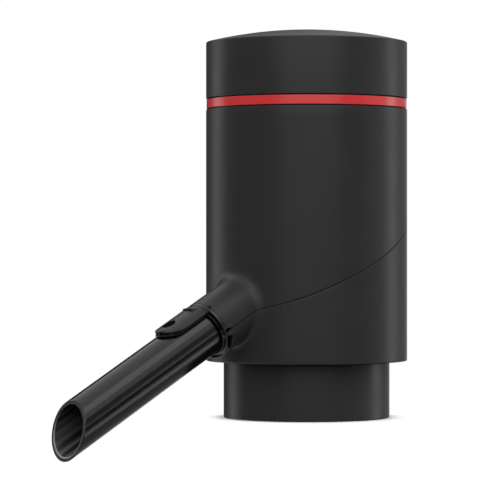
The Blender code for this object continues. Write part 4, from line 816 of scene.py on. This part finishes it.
def make_manifold(finishes):
    """Stem, column and flange turned upright, joined to the elbow and the nozzle on the spout's axis."""
    column_top = SPOUT_AXIS_Z - ELBOW_RADIUS / 2
    upright = [
        (0.0, STOPPER_FOOT_Z), (STEM_RADIUS, STOPPER_FOOT_Z), (STEM_RADIUS, FLANGE_BOTTOM_Z),
        (FLANGE_RADIUS, FLANGE_BOTTOM_Z), (FLANGE_RADIUS, FLANGE_TOP_Z), (COLUMN_RADIUS, FLANGE_TOP_Z),
        (COLUMN_RADIUS, column_top), (0.0, column_top),
    ]
    half_groove = SEAL_SECTION_RADIUS + FIT_GAP
    nozzle = [
        (0.0, 0.0), (NOZZLE_RADIUS, 0.0), (NOZZLE_RADIUS, LAND_START),
        (LAND_RADIUS, LAND_START), (LAND_RADIUS, LAND_END), (NOZZLE_RADIUS, LAND_END),
        (NOZZLE_RADIUS, SEAL_AT - half_groove), (NOZZLE_GROOVE_RADIUS, SEAL_AT - half_groove),
        (NOZZLE_GROOVE_RADIUS, SEAL_AT + half_groove), (NOZZLE_RADIUS, SEAL_AT + half_groove),
        (NOZZLE_RADIUS, NOZZLE_END), (0.0, NOZZLE_END),
    ]
    bend = np.linspace(0.0, math.pi, ELBOW_ROWS + 1)
    elbow = np.stack([ELBOW_RADIUS * np.sin(bend), SPOUT_AXIS_Z - ELBOW_RADIUS * np.cos(bend)], axis=-1)
    elbow[[0, -1], 0] = 0.0
    bore = rectangle(0.0, NOZZLE_BORE_RADIUS, 0.0, NOZZLE_END + CUT_OVERRUN)
    manifold = turned_piece("outlet_manifold_fine", upright, MANIFOLD_ROUND, SIDES_SMALL)
    combine(manifold, JOIN, [turned(elbow, SIDES_SMALL)])
    combine(manifold, JOIN, [along_spout(round_corners(nozzle, MANIFOLD_ROUND))])
    below = STOPPER_FOOT_Z - CUT_OVERRUN
    air_hole = (NIPPLE_RADIUS / 2, below, NIPPLE_TOP_Z + CUT_OVERRUN)
    combine_rods(manifold, JOIN, NIPPLE_RADIUS, STOPPER_FOOT_Z, NIPPLE_TOP_Z, NIPPLE_PLACE)
    combine_rods(manifold, CUT, *air_hole, NIPPLE_PLACE)
    combine_rods(manifold, CUT, WINE_BORE_RADIUS, below, SPOUT_AXIS_Z, [(0.0, 0.0)])
    combine(manifold, CUT, [along_spout(bore)])
    flange = (FLANGE_BOTTOM_Z - CUT_OVERRUN, FLANGE_TOP_Z + CUT_OVERRUN)
    combine_rods(manifold, CUT, SCREW_HOLE_RADIUS, *flange, MANIFOLD_SCREWS)
    finish_piece(manifold, finishes, "moulded_black")


def make_nozzle_seal(finishes):
    turn = np.linspace(0.0, 2 * math.pi, SIDES_SEAL + 1)[:-1]
    section = np.stack([np.cos(turn), np.sin(turn)], axis=-1) * SEAL_SECTION_RADIUS
    seal = add_piece("nozzle_seal_fine", [along_spout(section + np.array([SEAL_RADIUS, SEAL_AT]))])
    finish_piece(seal, finishes, "silicone_grey")


def make_cells(finishes):
    """The cells on end: each a steel can with a nub, in a plain sleeve that is shrunk over its rims.

    Every other cell stands on its nub, so its profile's heights are counted from the top instead.
    """
    shoulder = CELL_LENGTH - CELL_NUB_HEIGHT
    rim_radius = CELL_STEEL_RADIUS + CELL_RIM
    profile = [
        (0.0, 0.0), (CELL_GROOVE_RADII[0], 0.0), (CELL_GROOVE_RADII[1], CELL_GROOVE_DEPTH),
        (CELL_STEEL_RADIUS, CELL_GROOVE_DEPTH), (rim_radius, 0.0), (CELL_RADIUS, 0.0),
        (CELL_RADIUS, shoulder), (rim_radius, shoulder),
        (CELL_STEEL_RADIUS, shoulder - CELL_GROOVE_DEPTH),
        (CELL_NUB_FOOT_RADIUS, shoulder - CELL_GROOVE_DEPTH),
        (CELL_NUB_RADIUS, shoulder), (CELL_NUB_RADIUS, CELL_LENGTH), (0.0, CELL_LENGTH),
    ]
    upright = turned(round_corners(profile, CELL_ROUNDINGS), SIDES_SMALL)
    upside_down = upright * (1.0, 1.0, -1.0) + (0.0, 0.0, CELL_LENGTH)
    for index in range(CELL_COUNT):
        place = cell_place(index) + (0.0, 0.0, CELL_BOTTOM_Z)
        grid = (upside_down if index % 2 else upright) + place
        cell = add_piece(f"battery_cell_{index + 1}_fine", [grid])
        finish_piece(cell, finishes, "cell_wrap")
        cell.data.materials.append(finishes["plated_steel"])
        centres = np.empty(3 * len(cell.data.polygons))
        cell.data.polygons.foreach_get("center", centres)
        across = (centres.reshape(-1, 3) - place)[:, :2]
        cell.data.polygons.foreach_set("material_index", np.hypot(*across.T) < CELL_STEEL_RADIUS)


def cell_place(index):
    """Where a cell's axis stands: the first on +X, and the others a quarter of a turn apart."""
    turn = 2 * math.pi / CELL_COUNT * index
    return np.array([CELL_PITCH * math.cos(turn), CELL_PITCH * math.sin(turn), 0.0])


def helix_grid(foot, head, turns):
    """A wire along a helix that may taper, with closed ends.

    Its middle line stands at (r cos a, r sin a, z), with a, r and z running evenly from the wire's foot to
    its head. Round it goes a circle, at (r + w cos b, z + w sin b), whose w is nothing at the very ends.
    """
    share = np.linspace(0.0, 1.0, int(turns * SIDES_SMALL))
    share = np.concatenate([[0.0], share, [1.0]])[:, None]
    thickness = np.full_like(share, SPRING_WIRE_RADIUS)
    thickness[[0, -1]] = 0.0
    turn = 2 * math.pi * turns * share
    bend = np.linspace(0.0, 2 * math.pi, SIDES_WIRE + 1)
    radius = foot[0] + (head[0] - foot[0]) * share + thickness * np.cos(bend)
    height = foot[1] + (head[1] - foot[1]) * share + thickness * np.sin(bend)
    return np.stack([radius * np.cos(turn), radius * np.sin(turn), height], axis=-1)


def make_springs(finishes):
    """A tapered spring under each cell, and the button's, which rides with the lid on a mesh of its own; the
    real one shortens as the button goes in.
    """
    for index in range(CELL_COUNT):
        spring = add_piece(f"cell_spring_{index + 1}_fine", [helix_grid(*CELL_SPRING) + cell_place(index)])
        finish_piece(spring, finishes, "plated_steel")
    spring = add_piece("button_spring_fine", [helix_grid(*BUTTON_SPRING)])
    finish_piece(spring, finishes, "plated_steel", body="lid")
    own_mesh(spring)


def linear(hex_colour):
    """An sRGB hex colour as linear red, green and blue with alpha 1."""
    channels = np.array([int(hex_colour[start:start + 2], 16) for start in (1, 3, 5)]) / 255
    dark = channels / 12.92
    bright = ((channels + 0.055) / 1.055) ** 2.4
    return (*np.where(channels <= 0.04045, dark, bright), 1.0)


def feed(owner, node, inputs):
    """Give a node's inputs, by name or number, their values, or links from the sockets that feed them."""
    for name, value in inputs.items():
        if isinstance(value, bpy.types.NodeSocket):
            owner.node_tree.links.new(value, node.inputs[name])
        else:
            node.inputs[name].default_value = value


def add_node(owner, kind, inputs=(), output=0, **settings):
    """Add a node with its settings to a material or world, and give the socket of one of its outputs.

    Inputs are values and sockets to link from, in the order of the node's own inputs or by name or number.
    """
    node = owner.node_tree.nodes.new(kind)
    for name, value in settings.items():
        setattr(node, name, value)
    feed(owner, node, inputs if isinstance(inputs, dict) else dict(enumerate(inputs)))
    return node.outputs[output]


def make_finish(name, base, mottle, roughness, grain=MOULD_GRAIN, drift_size=COLOUR_DRIFT, sockets=()):
    """A moulded, drawn or lacquered surface.

    Base and mottle are two hex colours that drift into each other over a size in metres. Roughness is its
    lowest and its highest value, and grain is the size and the height in metres of its fine relief.
    """
    material = bpy.data.materials.new(name)
    material.use_nodes = True
    shader = material.node_tree.nodes["Principled BSDF"]
    place = add_node(material, "ShaderNodeTexCoord", output="Object")
    drift = add_node(material, NOISE, {"Vector": place, "Scale": 1 / drift_size, "Detail": 3.0})
    blend = {FACTOR: drift, FIRST: linear(base), SECOND: linear(mottle)}
    colour = add_node(material, MIX, blend, MIXED, data_type="RGBA")
    gloss = add_node(material, RANGE, (drift, *DRIFT_RANGE, *roughness))
    size, height = grain
    relief = add_node(material, NOISE, {"Vector": place, "Scale": 1 / size, "Detail": 2.0})
    bump = add_node(material, "ShaderNodeBump", {"Height": relief, "Strength": 1.0, "Distance": height})
    feed(material, shader, {**dict(sockets), "Base Color": colour, "Roughness": gloss, "Normal": bump})
    return material


def make_smoke():
    """Clear acrylic dyed dark grey: a tube drawn through a die, then sawn off on a slant.

    Outside it is polished, and so deep in colour that two walls let little light past. Inside, the die left
    a satin wall with paler streaks along the tube, from a noise of each point's place off the spout's axis,
    which is its place less the part of it along the axis. The sawn rim is matt up to its rounded edges: how
    far along a point stands towards the rim is its dot product with the normal of the rim's plane. The rim's
    inner edge carries a painted highlight, a pale grey that is strongest in its lower half, and there the
    acrylic is also opaque and rougher.
    """
    smoke = make_finish(
        "Smoked acrylic", "#151515", "#191919", (0.15, 0.18), DIE_GRAIN, sockets={"IOR": 1.49})
    shader = smoke.node_tree.nodes["Principled BSDF"]
    normal = SPOUT_ALONG * math.cos(TIP_SLANT) + SPOUT_UP * math.sin(TIP_SLANT)
    rim = np.dot(SPOUT_ORIGIN + SPOUT_ALONG * TUBE_TIP, normal)
    place = add_node(smoke, "ShaderNodeTexCoord", output="Object")
    toward_rim = add_node(smoke, VECTOR_MATH, (place, normal), "Value", operation="DOT_PRODUCT")
    from_root = add_node(smoke, VECTOR_MATH, (place, SPOUT_ORIGIN), operation="SUBTRACT")
    along = add_node(smoke, VECTOR_MATH, (from_root, SPOUT_ALONG), operation="PROJECT")
    off_axis = add_node(smoke, VECTOR_MATH, (from_root, along), operation="SUBTRACT")
    radius = add_node(smoke, VECTOR_MATH, (off_axis,), "Value", operation="LENGTH")
    up = add_node(smoke, VECTOR_MATH, (from_root, SPOUT_UP), "Value", operation="DOT_PRODUCT")
    behind_rim = add_node(smoke, RANGE, (toward_rim, rim - SAWN_DEPTH[1], rim - SAWN_DEPTH[0], 1.0, 0.0))
    outside = add_node(smoke, RANGE, (radius, *(TUBE_INNER_RADIUS + depth for depth in SATIN_DEPTH)))
    clear = add_node(smoke, MATH, (behind_rim, outside), operation="MULTIPLY")
    streaks = add_node(smoke, NOISE, {"Vector": off_axis, "Scale": 1 / STREAK_SIZE})
    streak = add_node(smoke, RANGE, (streaks, *STREAK_RANGE))
    blend = {FACTOR: streak, FIRST: linear("#101010"), SECOND: linear("#4a4a4a")}
    streaked = add_node(smoke, MIX, blend, MIXED, data_type="RGBA")
    blend = {FACTOR: outside, FIRST: streaked, SECOND: linear("#303030")}
    matt = add_node(smoke, MIX, blend, MIXED, data_type="RGBA")
    # Painted highlight: a pale grey on the rim's inner edge, full in its lower half and fading above it
    low = add_node(smoke, RANGE, (up, *PAINTED_HIGHLIGHT_UP, 1.0, PAINTED_HIGHLIGHT_ABOVE))
    near_rim = add_node(smoke, RANGE, (toward_rim, rim - PAINTED_HIGHLIGHT_DEPTH[1], rim - PAINTED_HIGHLIGHT_DEPTH[0], 0.0, low))
    widths = (TUBE_INNER_RADIUS + width for width in PAINTED_HIGHLIGHT_WIDTH)
    edge = add_node(smoke, RANGE, (radius, *widths, near_rim, 0.0))
    for socket, rough, painted_highlight in (
            ("Base Color", matt, linear("#727272")), ("Roughness", (0.35,) * 4, (0.5,) * 4)):
        smooth = shader.inputs[socket].links[0].from_socket
        blend = {FACTOR: clear, FIRST: rough, SECOND: smooth}
        mixed = add_node(smoke, MIX, blend, MIXED, data_type="RGBA")
        blend = {FACTOR: edge, FIRST: mixed, SECOND: painted_highlight}
        feed(smoke, shader, {socket: add_node(smoke, MIX, blend, MIXED, data_type="RGBA")})
    see_through = add_node(smoke, MATH, (clear, edge), operation="SUBTRACT", use_clamp=True)
    feed(smoke, shader, {"Transmission Weight": see_through})
    return smoke


def make_board():
    """Glass-epoxy under a green solder mask, through which the etched copper shows as paler tracks.

    The tracks are the joints of a brick pattern, drawn twice as wide as real ones so that they can be seen.
    """
    board = make_finish("Solder-masked glass-epoxy", "#1b5a34", "#216a3e", (0.3, 0.4))
    shader = board.node_tree.nodes["Principled BSDF"]
    place = add_node(board, "ShaderNodeTexCoord", output="Object")
    tracks = add_node(
        board, "ShaderNodeTexBrick",
        {"Vector": place, "Scale": 1.0, "Mortar Size": TRACK_WIDTH, "Mortar Smooth": 0.2,
         "Brick Width": TRACK_LENGTH, "Row Height": TRACK_PITCH}, "Fac")
    mask = shader.inputs["Base Color"].links[0].from_socket
    blend = {FACTOR: tracks, FIRST: mask, SECOND: linear("#3f8f5c")}
    feed(board, shader, {"Base Color": add_node(board, MIX, blend, MIXED, data_type="RGBA")})
    return board


def make_finishes():
    """The finishes by their slot names in the record, and one more for the ring round the spout's root."""
    return {
        # Moulded, then sprayed with a rubbery lacquer: an even dark grey whose highlights are broad and soft
        "soft_touch_black": make_finish(
            "Soft-touch lacquer on ABS", "#29292a", "#2d2d2e", (0.32, 0.38), sockets={SPECULAR: 0.2}),
        # Dyed through and moulded in a polished tool: a full red with a gentle shine
        "gloss_red": make_finish(
            "Red gloss ABS", "#c62f32", "#ca3538", (0.22, 0.28), sockets={SPECULAR: 0.4}),
        # Moulded in a finely eroded tool: nearly black, with a waxy sheen
        "moulded_black": make_finish(
            "Black polypropylene", "#131314", "#171718", (0.32, 0.38), sockets={SPECULAR: 0.4}),
        # Moulded hard and slick, so that the tube slides in it, with tight highlights. Its colour is darker
        # than the other black plastic as painted shade, so that the ring's channel reads black
        "ring_black_painted_shade": make_finish(
            "Black acetal with painted shade", "#0b0b0c", "#0e0e0f", (0.24, 0.3), sockets={SPECULAR: 0.5}),
        # Pressed in a hot mould and left as it comes: a dull, chalky grey
        "silicone_grey": make_finish("Silicone rubber", "#3f3f41", "#454548", (0.55, 0.65)),
        "smoked_acrylic": make_smoke(),
        # Moulded without dye, since it lies out of sight: a milky, warm off-white
        "moulded_natural": make_finish("Natural ABS", "#c9c6bb", "#d0cdc2", (0.42, 0.5)),
        # Bent from wire and strip, then barrel-plated: a pale, slightly yellow metal with a satin shine
        "plated_steel": make_finish(
            "Nickel-plated steel", "#b9b8b2", "#c2c1bb", (0.24, 0.34), sockets={"Metallic": 1.0}),
        # Deep-drawn, then zinc-plated: a cooler metal, duller and more mottled than nickel
        "motor_can": make_finish(
            "Zinc-plated steel", "#a2a4a6", "#b4b6b8", (0.3, 0.42), sockets={"Metallic": 1.0}),
        # Film shrunk over the can with hot air: a smooth green skin that shines
        "cell_wrap": make_finish("Shrink-wrap PVC", "#2f5a3b", "#346341", (0.22, 0.3)),
        "board_laminate": make_board(),
        # Extruded over stranded wire: soft, bright red and half matt
        "lead_insulation": make_finish("PVC insulation", "#a32a2a", "#ab3030", (0.4, 0.5)),
    }


def dress_carried_nodes(finishes):
    """Give every CAD node that stays the finish of its own slot in the record."""
    slots = {part["node"]: part["material_slot"] for part in frame["record"]["subparts"]}
    for name, node in frame["nodes"].items():
        for slot in node.material_slots:
            slot.material = finishes[slots[name]]


def add_world():
    """A plain studio: white where it is seen or mirrored, and as a light a grey that is dim from below."""
    world = bpy.data.worlds.new("Studio")
    world.use_nodes = True
    world.node_tree.nodes.clear()
    rays = add_node(world, "ShaderNodeLightPath").node.outputs
    mirrored = add_node(world, MATH, (rays["Is Camera Ray"], rays["Is Glossy Ray"]), operation="MAXIMUM")
    seen = add_node(world, MATH, (mirrored, rays["Is Transmission Ray"]), operation="MAXIMUM")
    direction = add_node(world, "ShaderNodeTexCoord", output="Generated")
    upward = add_node(world, "ShaderNodeSeparateXYZ", (direction,), "Z")
    strength = add_node(world, RANGE, (upward, -FILL_CHANGE, FILL_CHANGE, FILL_BELOW, FILL_ABOVE))
    fill = add_node(world, "ShaderNodeBackground", (linear("#ffffff"), strength))
    white = add_node(world, "ShaderNodeBackground", (linear("#ffffff"), 1.0))
    mixed = add_node(world, "ShaderNodeMixShader", (seen, fill, white))
    feed(world, world.node_tree.nodes.new("ShaderNodeOutputWorld"), {"Surface": mixed})
    bpy.context.scene.world = world


def add_stage():
    """A small white stand under the collar and a pale floor far below, which fade out past the shadows.

    A card is seen from above only: from below it is as clear as glass. Coated paper board is matt and almost
    white, with a faint tooth.
    """
    for name, fade_radius, radius, height in CARDS:
        card = make_finish("Matt white card, " + name, "#f4f4f4", "#f7f7f7", (0.8, 0.9), CARD_GRAIN)
        place = add_node(card, "ShaderNodeTexCoord", output="Object")
        flat = add_node(card, VECTOR_MATH, (place, (1.0, 1.0, 0.0)), operation="MULTIPLY")
        distance = add_node(card, VECTOR_MATH, (flat,), "Value", operation="LENGTH")
        behind = add_node(card, "ShaderNodeNewGeometry", output="Backfacing")
        in_front = add_node(card, MATH, (1.0, behind), operation="SUBTRACT")
        fades = (distance, fade_radius, radius, in_front, 0.0)
        alpha = add_node(card, RANGE, fades, interpolation_type="SMOOTHSTEP")
        feed(card, card.node_tree.nodes["Principled BSDF"], {"Alpha": alpha})
        disc = add_piece(name, [turned([(0.0, height), (radius, height)], SIDES_BODY)])
        if disc.data.polygons[0].normal.z < 0:
            disc.data.flip_normals()
        disc.data.materials.append(card)
        disc.visible_glossy = False
        disc.visible_diffuse = False


def add_curtains():
    """Curtains at the studio's side, which only mirrored rays meet: they leave dark bands between the lamps.

    Each is a piece of a cylinder, of woven cloth that takes all gloss away. Its coarse mottle is painted
    shade and light that stands in for folds, which the flat cylinder doesn't have.
    """
    cloths = {
        "black": make_finish(
            "Black molton with painted fold shade", "#060606", "#4a4a4a", (0.9, 1.0), CURTAIN_WEAVE, CURTAIN_FOLD_SHADE_SIZE),
        "grey": make_finish(
            "Grey felt with painted fold shade", "#9a9a9a", "#c8c8c8", (0.9, 1.0), CURTAIN_WEAVE, CURTAIN_FOLD_SHADE_SIZE),
    }
    for name, turns, heights, cloth in CURTAINS:
        turn = CAMERA_TURN + np.radians(np.linspace(*turns, CURTAIN_COLUMNS))
        curtain = add_piece(name, [on_cylinder(CURTAIN_RADIUS, turn, np.array(heights)[:, None])])
        curtain.data.materials.append(cloths[cloth])
        curtain.visible_camera = False
        curtain.visible_diffuse = False
        curtain.visible_transmission = False
        curtain.visible_shadow = False


def add_camera():
    """The photograph's camera: level, and aimed so that the object stands right of the middle."""
    toward = Vector((math.sin(CAMERA_TURN), -math.cos(CAMERA_TURN), 0.0))
    right = Vector((math.cos(CAMERA_TURN), math.sin(CAMERA_TURN), 0.0))
    look = -toward - right * math.tan(CAMERA_YAW) + Vector((0.0, 0.0, math.tan(CAMERA_PITCH)))
    camera = bpy.data.objects.new("camera", bpy.data.cameras.new("camera"))
    camera.data.lens = CAMERA_LENS_MM
    camera.data.sensor_width = CAMERA_SENSOR_MM
    camera.location = toward * CAMERA_DISTANCE + Vector((0.0, 0.0, CAMERA_HEIGHT))
    camera.rotation_euler = look.to_track_quat("-Z", "Y").to_euler()
    bpy.context.scene.collection.objects.link(camera)
    bpy.context.scene.camera = camera


def add_lamps():
    """Soft lamps round the object, at angles to the right of the camera's direction, aimed at its middle."""
    for name, (turn, distance, height), (wide, high), power in LAMPS:
        angle = CAMERA_TURN + math.radians(turn)
        place = Vector((distance * math.sin(angle), -distance * math.cos(angle), height))
        light = bpy.data.lights.new(name, "AREA")
        light.shape = "RECTANGLE"
        light.size, light.size_y = wide, high
        light.energy = power
        lamp = bpy.data.objects.new(name, light)
        lamp.location = place
        lamp.rotation_euler = (Vector(LAMP_TARGET) - place).to_track_quat("-Z", "Y").to_euler()
        lamp.visible_camera = False
        bpy.context.scene.collection.objects.link(lamp)


def main():
    bpy.context.scene.view_settings.view_transform = "Standard"
    finishes = make_finishes()
    add_world()
    add_stage()
    add_curtains()
    add_camera()
    add_lamps()
    dress_carried_nodes(finishes)
    for make in (
            make_collar, make_gasket, make_stopper, make_lower_shell, make_upper_shell, make_accent_ring,
            make_battery_cap, make_push_button, make_manifold, make_nozzle_seal, make_spout_tube,
            make_socket_ring, make_release_tab, make_cells, make_springs):
        make(finishes)


main()
